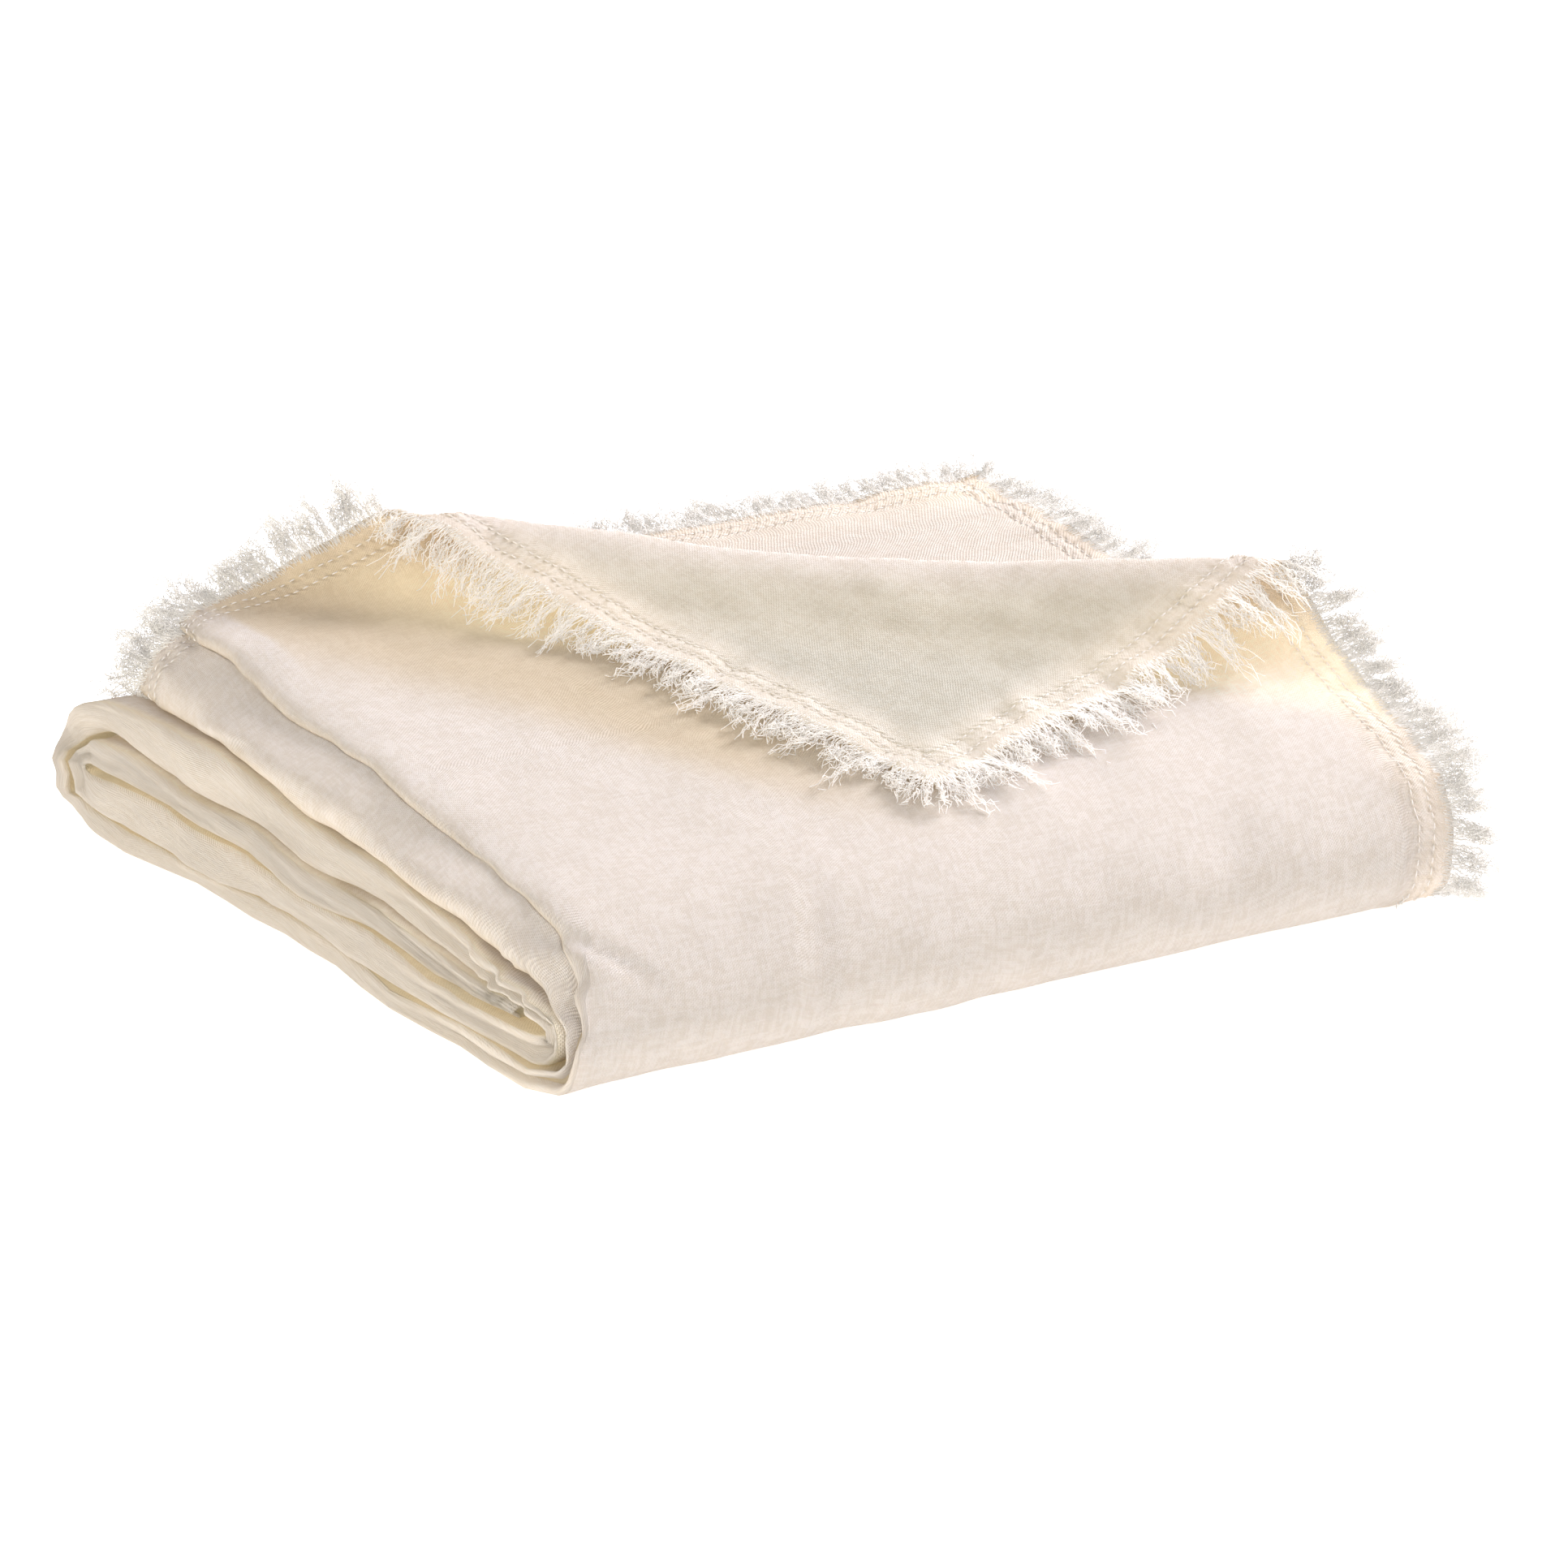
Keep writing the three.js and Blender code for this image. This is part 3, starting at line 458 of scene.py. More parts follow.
class Throw:
    """The cloth's middle surface as a grid of points, with its flat coordinates and raw edges."""

    def __init__(self, thickness):
        self.thickness = thickness
        self.strip = Strip(STRIP)
        self.bend = Bend(BEND)
        self.roll = Roll(ROLL)
        self.rows = self._row_numbers()
        self._panel_line()
        crest = CREST_RIGHT - CREST_BACK
        self.crest_length = np.hypot(*crest)
        self.crest_way = crest / self.crest_length
        self.crest_away = np.array([-self.crest_way[1], self.crest_way[0]])
        self.columns = [(piece, share) for piece in SECTION for share in self._shares(piece)]
        self.columns.append((SECTION[-1], 1.0))
        self.turned = np.zeros((len(self.rows), len(self.columns)))
        # Shares of painted warm half light and of painted light through thin layers at each point
        self.hollow = np.zeros_like(self.turned)
        self.glow = np.zeros_like(self.turned)
        self.grid = self._base_grid()
        self._measure()
        self._soften()
        self._measure()
        self._shade_beside_turned_corner()

    def _row_numbers(self):
        """Row numbers of the mesh, closer where the strip turns and near its raw back end."""
        numbers = []
        for i, span in enumerate(self.strip.spans):
            steps = max(1, int(np.ceil(span / ROW_STEP[STRIP[i + 1].part])))
            numbers.append(i + np.arange(steps) / steps)
        numbers.append(np.array([len(STRIP) - 1.0]))
        return np.concatenate(numbers)

    def _panel_line(self):
        """Depth and height of the top panel's upper layer, front to back."""
        numbers = np.linspace(FRONTMOST_ROW, 0, PANEL_POINTS)
        at = self.strip.at(numbers)
        outer = at.half - self.thickness / 2
        self.panel_y = at.y + outer * at.normal_y
        self.panel_z = at.z + outer * at.normal_z

    def _shares(self, piece):
        """Mesh places along one piece of the section, closer near the raw edges."""
        even = np.arange(piece.steps) / piece.steps
        if piece.name == "top layer":
            return even**TOP_CROWDING
        if piece.name == "second layer":
            return 1 - (1 - even) ** SECOND_CROWDING
        return even

    def past_lift(self, x, y):
        """Distance of plan points past the lifting line, towards the corner."""
        past_crest = (x - CREST_BACK[0]) * self.crest_away[0] + (y - CREST_BACK[1]) * self.crest_away[1]
        return past_crest + LIFT_RUN

    def _section(self, at, name, share):
        """Width place and offset from the strip's middle of one piece of the section."""
        outer = at.half - self.thickness / 2
        inner = outer / 3
        bulge = at.half * mix(FLAT_FOLD_BULGE, FOLD_BULGE, np.minimum(1, at.lean / ROUND_FOLD_LEAN))
        lower_edge = at.left + bulge
        upper_edge = lower_edge + at.lean
        inner_edge = upper_edge + INNER_FOLD_INSET + inner
        fold_edge = at.right - RIGHT_FOLD_INSET - inner
        angle = np.pi * (0.5 - share)
        if name == "top layer":
            return mix(at.right, upper_edge, share), outer
        if name == "outer fold":
            drawn_in = at.pinch * np.exp(-((angle / PINCH_ANGLE) ** 2))
            rise = np.sin(angle)
            reach = bulge * mix(rise**CREASE_POWER, rise**2, FOLD_ROUNDING) + drawn_in
            rolled_reach, rolled_rise = self.roll.at(share)
            rolled = np.minimum(1, at.lean / ROUND_FOLD_LEAN)
            reach = mix(reach + at.lean * ((1 + rise) / 2) ** 2, (bulge + at.lean) * rolled_reach, rolled)
            return at.left + reach, outer * mix(rise, rolled_rise, rolled)
        if name == "fourth layer":
            return mix(lower_edge, fold_edge, share), -outer
        if name == "right fold":
            return fold_edge + inner * np.cos(angle), -2 * inner - inner * np.sin(angle)
        if name == "third layer":
            return mix(fold_edge, inner_edge, share), -inner
        if name == "inner fold":
            return inner_edge - inner * np.cos(angle), -inner * np.sin(angle)
        return mix(inner_edge, at.right - SECOND_LAYER_INSET, share), inner

    def _base_grid(self):
        """Points of the folded cloth before its creases."""
        at = self.strip.at(self.rows)
        fade = np.maximum(0.0, 1 - self.rows / LAST_TOP_ROW)
        columns = []
        for number, (piece, share) in enumerate(self.columns):
            x, offset = self._section(at, piece.name, share)
            y = at.y + offset * at.normal_y
            z = at.z + offset * at.normal_z
            if piece.name == "top layer":
                past_lift = np.where(self.rows <= FRONTMOST_ROW, self.past_lift(x, y), -OFF_THE_TOP)
                past_crest = past_lift - CREST_ALONG
                self.turned[:, number] = smooth_step(past_crest, *REVERSE_PAST_CREST)
                self.glow[:, number] = self._glow_below_crest(x, past_crest)
                x, y, z = self._turned_corner(at, x, y, z)
            else:
                y = y - mix(piece.start_setback, piece.end_setback, share) * fade
                self.hollow[:, number] = self._crease_warmth(at, piece.name, share)
                self.glow[:, number] = self._crease_glow(piece.name, share)
            columns.append(np.stack([x, y, z], axis=-1))
        return np.stack(columns, axis=1)

    def _glow_below_crest(self, x, past_crest):
        """Share of the light that passes through the lifted cloth on one column of the top layer."""
        below = smooth_step(past_crest, *GLOW_SETS_IN) * (1 - smooth_step(past_crest, *GLOW_ENDS))
        return below * smooth_step(x, *GLOW_FROM_LEFT) * (1 - GLOW_WANES_BY * smooth_step(x, *GLOW_WANES))

    def _crease_glow(self, name, share):
        """Share of that light on one column of the inner bands, most in the creases between them."""
        in_crease = smooth_step(abs(2 * share - 1), *CREASE_SHARES) if name == "outer fold" else 1.0
        return np.where(self.rows > LAST_FRONT_ROW, mix(*BAND_GLOW, in_crease), 0)

    def _crease_warmth(self, at, name, share):
        """Share of warm half light on one column below the top layer, most where bands press together."""
        if name == "second layer":
            return SECOND_LAYER_WARMTH
        if name != "outer fold":
            return 1.0
        rolled = np.minimum(1, at.lean / ROUND_FOLD_LEAN)
        shown = np.where((share > 0.5) | (self.rows > LAST_FRONT_ROW), 1, 0)
        pressed = PRESSED_WARMTH * shown * smooth_step(abs(2 * share - 1), *PRESSED_SHARES)
        valley = VALLEY_WARMTH * np.exp(-(((share - VALLEY_PLACE) / VALLEY_WIDTH) ** 2))
        return mix(pressed, np.maximum(valley, smooth_step(share, *UNDERSIDE_SHARES)), rolled)

    def _turned_corner(self, at, x, y, z):
        """Bends the top layer's corner back over the panel."""
        on_top = self.rows <= FRONTMOST_ROW
        reach = smooth_step(x, *CORNER_FROM_LEFT) * smooth_step(y, *CORNER_FROM_FRONT)
        x = x - np.where(on_top, CORNER_DRAW * reach, 0)
        y = y + np.where(on_top, CORNER_REACH * reach, 0)
        along = np.where(on_top, np.maximum(self.past_lift(x, y), 0), 0)
        run, rise = self.bend.at(along)
        shift = run - along
        shoulder = at.left + FOLD_BULGE * at.half + at.lean
        fade = smooth_step(x - shoulder, 0, LIFT_FADE)
        place = ((x - CREST_BACK[0]) * self.crest_way[0] + (y - CREST_BACK[1]) * self.crest_way[1])
        share = np.clip(place / self.crest_length, 0, 1)
        sag = 1 - CREST_SAG * np.sin(np.pi * share) ** SAG_POWER
        lift = (np.minimum(rise, SAG_FLOOR) + np.maximum(rise - SAG_FLOOR, 0) * sag) * fade
        new_x = x + shift * self.crest_away[0]
        new_y = y + shift * self.crest_away[1]
        panel = np.interp(new_y, self.panel_y, self.panel_z) - np.interp(y, self.panel_y, self.panel_z)
        return new_x, new_y, z + np.where(on_top, panel + lift, 0)

    def _measure(self):
        """Normals, and distances along the cloth from its raw edges."""
        down = np.gradient(self.grid, axis=0)
        across = np.gradient(self.grid, axis=1)
        normal = np.cross(across, down)
        self.normals = normal / np.linalg.norm(normal, axis=-1, keepdims=True)
        self.across = self._run_lengths(1)
        self.along = self._run_lengths(0)

    def _run_lengths(self, axis):
        """Distances along the grid's lines in one direction."""
        steps = np.linalg.norm(np.diff(self.grid, axis=axis), axis=-1)
        pad = [(0, 0), (0, 0)]
        pad[axis] = (1, 0)
        return np.pad(np.cumsum(steps, axis=axis), pad)

    def _soften(self):
        """Moves the cloth into creases, puckers, uneven bands and the loose waves of washed linen."""
        across, along = self.across, self.along
        loose = sum(rumple(across, along, waves) for waves in LOOSE_WAVES)
        loose = loose + self.turned * rumple(across, along, TURNED_WAVES)
        to_side = np.minimum(across, across[:, -1:] - across)
        to_end = np.minimum(along, along[-1:, :] - along)
        edge = np.minimum(to_side, to_end)
        place = np.where(to_side < to_end, along, across)
        hem = smooth_step(edge, *PUCKER_SETS_IN) * (1 - smooth_step(edge, *PUCKER_ENDS))
        pucker = hem * (ripple(place, HEM_PUCKER) + rumple(across, along, HEM_RUMPLE))
        wave = (1 - smooth_step(edge, *EDGE_WAVE_ENDS)) * ripple(place, EDGE_WAVE)
        self.edge_distance = edge
        thin_hem = self.turned * (1 - smooth_step(edge, *HEM_GLOW_ENDS))
        self.glow = np.maximum(self.glow, HEM_GLOW * thin_hem)
        self.turned *= mix(REVERSE_AT_EDGE, 1.0, smooth_step(edge, *REVERSE_FROM_EDGE))
        shift = loose + pucker + wave
        for crease in CREASES:
            shift = shift + crease_depth(across, along, crease)
        moved = self.grid + self.normals * shift[..., None]
        moved = moved + self._band_drift(moved)
        moved[..., 2] = np.maximum(moved[..., 2], self.thickness / 2)
        self.grid = moved

    def _band_drift(self, points):
        """Uneven bands on the left face: one smooth drift in space, so no band crosses another."""
        x, y, z = np.moveaxis(points, -1, 0)
        near_left = 1 - smooth_step(x, *BANDS_END)
        off_floor = smooth_step(z, *ABOVE_GROUND)
        drift = np.zeros_like(points)
        drift[..., 2] = near_left * off_floor * rumple(y, RISE_STRETCH * z, BAND_RISE)
        drift[..., 0] = near_left * sum(rumple(y, BULGE_STRETCH * z, waves) for waves in BAND_BULGES)
        crumpled = sum(np.exp(-(((y - corner.depth) / corner.reach) ** 2)) for corner in CRUMPLED_CORNERS)
        below_top = (1 - smooth_step(z, *CRUMPLES_END_ABOVE)) * (1 - smooth_step(x, *CRUMPLES_END_INSIDE))
        by_width, by_depth, by_height = CRUMPLE_SLANT
        for axis, waves in enumerate(CRUMPLES):
            fold = rumple(by_width * x + by_depth * y, by_height * z, waves)
            drift[..., axis] += off_floor * below_top * crumpled * fold
        for crease in FACE_CREASES:
            drift[..., 0] -= below_top * crease_depth(y, z, crease)
        return drift

    def _shade_beside_turned_corner(self):
        """Warm half light on the panel beside the raised edges of its turned corner."""
        columns = SECTION[0].steps
        rows = int(np.sum(self.rows <= FRONTMOST_ROW))
        plan = self.grid[:rows, :columns, None, :2]
        unturned = 1 - smooth_step(self.turned[:rows, :columns], 0, BARELY_TURNED)
        edges = (self.grid[0, :self.crest_column()], self.grid[:self.crest_row(), 0])
        for edge, shade in zip(edges, (LEFT_SHADE, RIGHT_SHADE)):
            from_tip = np.arange(len(edge)) / len(edge)
            size = mix(SHADE_AT_TIP, 1.0, from_tip)
            aside = np.linalg.norm(plan - edge[:, :2] - np.outer(size, shade.shift), axis=-1)
            depth = np.exp(-((aside / (size * shade.spread)) ** SHADE_POWER))
            depth = depth * smooth_step(from_tip, *shade.starts)
            beside = shade.strength * np.max(depth, axis=-1) * unturned
            self.hollow[:rows, :columns] = np.maximum(self.hollow[:rows, :columns], beside)

    def column_of(self, name):
        """First column of one piece of the section."""
        return sum(piece.steps for piece in SECTION[:PIECE_NAMES.index(name)])

    def crest_column(self):
        """Column where the raw back edge passes over the crest."""
        at = self.strip.at(np.array([0.0]))
        gaps = []
        for piece, share in self.columns[:SECTION[0].steps]:
            x, _ = self._section(at, piece.name, share)
            gaps.append(abs(float(self.past_lift(x, at.y)[0]) - CREST_ALONG))
        return int(np.argmin(gaps))

    def crest_row(self):
        """Row where the raw right edge passes over the crest."""
        at = self.strip.at(self.rows)
        gaps = np.abs(self.past_lift(at.right, at.y) - CREST_ALONG)
        return int(np.argmin(np.where(self.rows <= LAST_TOP_ROW + 1, gaps, np.inf)))

    def front_foot(self):
        """Row where the front fold reaches the ground."""
        return int(np.argmin(np.abs(self.rows - LAST_FRONT_ROW)))

    def edge_line(self, side, start, end):
        """Points of a raw edge with their outward ways, normals, tangents and free drops, in metres."""
        step = 1 if end >= start else -1
        places = np.arange(start, end + step, step)
        if side == "back":
            edge, near = (0, places), (1, places)
        elif side == "right":
            edge, near = (places, 0), (places, 1)
        else:
            edge, near = (places, -1), (places, -2)
        points, inside = self.grid[edge], self.grid[near]
        normals, turned = self.normals[edge], self.turned[edge]
        way = np.gradient(points, axis=0)
        way /= np.linalg.norm(way, axis=1, keepdims=True)
        out = points - inside
        out -= way * np.sum(out * way, axis=1, keepdims=True)
        out /= np.linalg.norm(out, axis=1, keepdims=True)
        for corner, inner in ((self.grid[0, 0], self.grid[3, 3]), (self.grid[0, -1], self.grid[3, -5])):
            fan = np.exp(-((np.linalg.norm(points - corner, axis=1) / CORNER_FAN) ** 2))
            out += FAN_STRENGTH * np.outer(fan, (corner - inner) / np.linalg.norm(corner - inner))
        out /= np.linalg.norm(out, axis=1, keepdims=True)
        below = np.where(turned > BARELY_TURNED, np.interp(points[:, 1], self.panel_y, self.panel_z), 0)
        drop = np.maximum(points[:, 2] - below - self.thickness, 0) * MM
        return EdgeLine((points - ORIGIN) * MM, out, normals, way, np.outer(drop, (0, 0, -1)))

    def inset_line(self, side, inset):
        """A line on the cloth at a distance from a raw edge, with its normals, in metres."""
        if side == "back":
            grid, normals, lengths = self.grid, self.normals, self.along
        elif side == "right":
            grid, normals, lengths = (np.swapaxes(a, 0, 1) for a in (self.grid, self.normals, self.across))
        else:
            grid, normals = (np.swapaxes(a[:, ::-1], 0, 1) for a in (self.grid, self.normals))
            lengths = (self.across[:, -1:] - self.across)[:, ::-1].T
        points, lies = [], []
        for k in range(lengths.shape[1]):
            i = int(np.searchsorted(lengths[:, k], inset)) - 1
            share = (inset - lengths[i, k]) / (lengths[i + 1, k] - lengths[i, k])
            points.append(mix(grid[i, k], grid[i + 1, k], share))
            lies.append(mix(normals[i, k], normals[i + 1, k], share))
        lies = np.array(lies)
        return (np.array(points) - ORIGIN) * MM, lies / np.linalg.norm(lies, axis=1, keepdims=True)


# A line on the cloth: its points, their ways out of the cloth, off its face and along the line, and how far
# threads may hang there
EdgeLine = namedtuple("EdgeLine", "points out lie way hang")


class Wire:
    """A socket of a node tree; sums and products of wires add Math nodes."""

    def __init__(self, graph, socket):
        self.graph = graph
        self.socket = socket

    def other(self, name):
        """Another output of the same node."""
        return Wire(self.graph, self.graph.find(self.socket.node.outputs, name))

    def __add__(self, value):
        return self.graph.math("ADD", self, value)

    def __radd__(self, value):
        return self.graph.math("ADD", value, self)

    def __sub__(self, value):
        return self.graph.math("SUBTRACT", self, value)

    def __rsub__(self, value):
        return self.graph.math("SUBTRACT", value, self)

    def __mul__(self, value):
        return self.graph.math("MULTIPLY", self, value)

    def __rmul__(self, value):
        return self.graph.math("MULTIPLY", value, self)

    def __truediv__(self, value):
        return self.graph.math("DIVIDE", self, value)

    def __rtruediv__(self, value):
        return self.graph.math("DIVIDE", value, self)


class Graph:
    """Adds nodes to a tree from their type, settings and inputs."""

    def __init__(self, tree):
        self.tree = tree

    @staticmethod
    def find(sockets, key):
        """A socket by its index, or the first one in use with its name."""
        if isinstance(key, int):
            return sockets[key]
        return next(socket for socket in sockets if socket.name == key and socket.enabled)

    def node(self, kind, settings=None, inputs=None, output=0):
        """A node of one type; returns the wire of one output."""
        node = self.tree.nodes.new(kind)
        for name, value in (settings or {}).items():
            setattr(node, name, value)
        self.feed(node, inputs or {})
        return Wire(self, self.find(node.outputs, output)) if node.outputs else node

    def feed(self, node, inputs):
        """Links or sets inputs of a node."""
        for key, value in inputs.items():
            socket = self.find(node.inputs, key)
            if isinstance(value, Wire):
                self.tree.links.new(value.socket, socket)
            else:
                socket.default_value = value

    def math(self, operation, *values):
        """A Math node on wires or numbers."""
        return self.node("ShaderNodeMath", {"operation": operation}, dict(enumerate(values)))

    def vector(self, operation, *values):
        """A Vector Math node on wires or vectors."""
        return self.node("ShaderNodeVectorMath", {"operation": operation}, dict(enumerate(values)))

    def scaled(self, vector, factor):
        """A vector times a number."""
        return self.node("ShaderNodeVectorMath", {"operation": "SCALE"},
                         {"Vector": vector, "Scale": factor})

    def combined(self, **parts):
        """A vector from its X, Y and Z."""
        return self.node("ShaderNodeCombineXYZ", None, parts)

    def joined(self, *vectors):
        """The sum of several vectors."""
        total = vectors[0]
        for vector in vectors[1:]:
            total = self.vector("ADD", total, vector)
        return total


class GeometryGraph(Graph):
    """A Geometry Nodes tree with named sizes, run as a modifier and turned into a plain mesh."""

    def __init__(self, name, sizes):
        tree = bpy.data.node_groups.new(name, "GeometryNodeTree")
        super().__init__(tree)
        tree.interface.new_socket("Geometry", in_out="INPUT", socket_type="NodeSocketGeometry")
        tree.interface.new_socket("Geometry", in_out="OUTPUT", socket_type="NodeSocketGeometry")
        for size in sizes:
            tree.interface.new_socket(size, in_out="INPUT", socket_type="NodeSocketFloat")
        source = self.node("NodeGroupInput")
        self.geometry = source
        self.sizes = {size: source.other(size) for size in sizes}

    def attribute(self, name, data_type):
        """A named attribute of the geometry."""
        return self.node("GeometryNodeInputNamedAttribute", {"data_type": data_type}, {"Name": name},
                         "Attribute")

    def store(self, geometry, name, data_type, value):
        """Keeps a value on the points under a name."""
        return self.node("GeometryNodeStoreNamedAttribute", {"data_type": data_type, "domain": "POINT"},
                         {"Geometry": geometry, "Name": name, "Value": value})

    def finish(self, geometry, material):
        """Ends the tree with real geometry and its material."""
        real = self.node("GeometryNodeRealizeInstances", None, {"Geometry": geometry})
        clad = self.node("GeometryNodeSetMaterial", None, {"Geometry": real, "Material": material})
        self.node("NodeGroupOutput", None, {"Geometry": clad})

    def bake(self, piece, values):
        """Runs the tree on a piece with the given sizes and keeps the result as its mesh."""
        modifier = piece.modifiers.new(self.tree.name, "NODES")
        modifier.node_group = self.tree
        for item in self.tree.interface.items_tree:
            if item.in_out == "INPUT" and item.name in values:
                modifier[item.identifier] = float(values[item.name])
        keep_evaluated(piece)


class MaterialGraph(Graph):
    """A material's node tree, which starts with its shader and output."""

    def __init__(self, name):
        self.material = bpy.data.materials.new(name)
        self.material.use_nodes = True
        super().__init__(self.material.node_tree)
        self.shader = self.tree.nodes["Principled BSDF"]

    def field(self, name):
        """A number kept on the points of a piece."""
        return self.node("ShaderNodeAttribute", {"attribute_name": name}, output="Fac")

    def noise(self, place, scale, detail, roughness=0.6, dimensions="3D"):
        """Soft unevenness about 0.5 at a place."""
        return self.node("ShaderNodeTexNoise", {"noise_dimensions": dimensions},
                         {"Vector": place, "Scale": scale, "Detail": detail, "Roughness": roughness}, "Fac")

    def bell(self, aside):
        """1 at no distance aside, falling softly to 0."""
        return self.math("EXPONENT", aside * aside * -1.0)

    def blend(self, first, second, share, how="MIX"):
        """A share of the second colour on the first; a colour is a wire or three numbers."""
        first, second = (colour if isinstance(colour, Wire) else (*colour, 1) for colour in (first, second))
        return self.node("ShaderNodeMix", {"data_type": "RGBA", "blend_type": how, "clamp_factor": True},
                         {"Factor": share, "A": first, "B": second}, "Result")

    def let_light_through(self, colour, share):
        """Lets a share of the light pass through thin cloth or thread."""
        glow = self.node("ShaderNodeBsdfTranslucent", None, {"Color": (*colour, 1)})
        solid = Wire(self, self.shader.outputs[0])
        both = self.node("ShaderNodeMixShader", None, {0: share, 1: solid, 2: glow})
        end = next(node for node in self.tree.nodes if node.type == "OUTPUT_MATERIAL")
        self.feed(end, {"Surface": both})


def keep_evaluated(piece):
    """Replaces a piece's mesh by its evaluated one and removes its modifiers."""
    graph = bpy.context.evaluated_depsgraph_get()
    mesh = bpy.data.meshes.new_from_object(piece.evaluated_get(graph))
    piece.modifiers.clear()
    old = piece.data
    piece.data = mesh
    bpy.data.meshes.remove(old)
    mesh.name = piece.name


def new_piece(name, points, edges=(), faces=()):
    """A mesh object at the origin, linked to the scene."""
    mesh = bpy.data.meshes.new(name)
    mesh.from_pydata([tuple(p) for p in points], list(edges), list(faces))
    piece = bpy.data.objects.new(name, mesh)
    bpy.context.scene.collection.objects.link(piece)
    return piece


def line_piece(name, lines):
    """A mesh of open lines whose points carry their outward ways, normals, tangents and drops."""
    points = np.vstack([line.points for line in lines])
    edges = []
    first = 0
    for line in lines:
        count = len(line.points)
        edges += [(first + i, first + i + 1) for i in range(count - 1)]
        first += count
    piece = new_piece(name, points, edges)
    for field in ("out", "lie", "way", "hang"):
        values = np.vstack([getattr(line, field) for line in lines]).astype(np.float32)
        attribute = piece.data.attributes.new(field, "FLOAT_VECTOR", "POINT")
        attribute.data.foreach_set("vector", values.ravel())
    return piece


STITCH_SIZES = ("Stitch pitch", "Stitch length", "Stitch width", "Stitch height")
# Length and width of a stitch as shares of the pitch, and its rise over both faces of the cloth in metres
STITCH_LENGTH = 0.86
STITCH_WIDTH = 0.19
STITCH_RISE = 0.0007
# Mesh rows past the crest where the stitches of the second layer end
ROWS_PAST_CREST = 6


def stitch_tree(material):
    """Stitches lying end to end along lines on the cloth."""
    graph = GeometryGraph("hem stitches", STITCH_SIZES)
    sizes = graph.sizes
    curve = graph.node("GeometryNodeMeshToCurve", None, {"Mesh": graph.geometry})
    spaced = graph.node("GeometryNodeResampleCurve", {"mode": "LENGTH"},
                        {"Curve": curve, "Length": sizes["Stitch pitch"]})
    stitch = graph.node("GeometryNodeMeshUVSphere", None, {"Segments": 6, "Rings": 4, "Radius": 0.5})
    along = graph.node("FunctionNodeAlignRotationToVector", {"axis": "X"},
                       {"Vector": graph.node("GeometryNodeInputTangent")})
    upright = graph.node("FunctionNodeAlignRotationToVector", {"axis": "Z", "pivot_axis": "X"},
                         {"Rotation": along, "Vector": graph.attribute("lie", "FLOAT_VECTOR")})
    size = graph.combined(X=sizes["Stitch length"], Y=sizes["Stitch width"], Z=sizes["Stitch height"])
    sewn = graph.node("GeometryNodeInstanceOnPoints", None,
                      {"Points": spaced, "Instance": stitch, "Rotation": upright, "Scale": size})
    real = graph.node("GeometryNodeRealizeInstances", None, {"Geometry": sewn})
    smooth = graph.node("GeometryNodeSetShadeSmooth", None, {"Geometry": real})
    # Stitches take full painted light, so none of the loose threads' painted shade
    graph.finish(graph.store(smooth, "bright", "FLOAT", 1.0), material)
    return graph


FRINGE_SIZES = ("Spacing", "Inset", "Off cloth", "Shortest", "Longest", "Thread radius", "Curl", "Turns",
                "Clump", "Pull", "Lean", "Lift", "Drift", "Brightness", "Seed")
THREAD_POINTS = 12
THREAD_SIDES = 3
# Share of a thread's radius that is lost at its tip
THREAD_TAPER = 0.55
# Least height of a thread over the ground, in metres
FLOOR_CLEARANCE = 0.0004
# How far roots lie inside the raw edge and how wide a clump is, in metres; how strongly a clump gathers
# its threads; the turns of a curl; the shortest thread's share of the longest; the seed's start and step
ROOT_INSET = 0.004
CLUMP_WIDTH = 0.0031
CLUMP_PULL = 0.6
CURL_TURNS = 3.2
SHORTEST_THREAD = 0.5
FIRST_SEED = 11
SEED_STEP = 10
# Clumps: the least share of a thread's length, what the longest add and how rare they are; the least share
# of its turns and what they add
LEAST_REACH = 0.65
ADDED_REACH = 1.1
REACH_POWER = 3.0
LEAST_TURNS = 0.55
ADDED_TURNS = 0.35
# Ranges that single threads draw from: start and size of the curl, change of its turns, share of the clump's
# pull, and shares of the lean and the lift
PHASE_RANGE = (-1.8, 1.8)
CURL_RANGE = (0.35, 1.0)
TURNS_RANGE = (-0.12, 0.12)
PULL_RANGE = (0.3, 1.2)
LEAN_RANGE = (-0.3, 0.3)
LIFT_RANGE = (-0.3, 0.3)
# How a curl opens along a thread; how fast a thread strays along its length, how much its own start adds and
# how fine the straying is
CURL_POWER = 0.7
STRAY_PACE = 2.2
STRAY_START = 0.12
STRAY_SCALE = 380.0


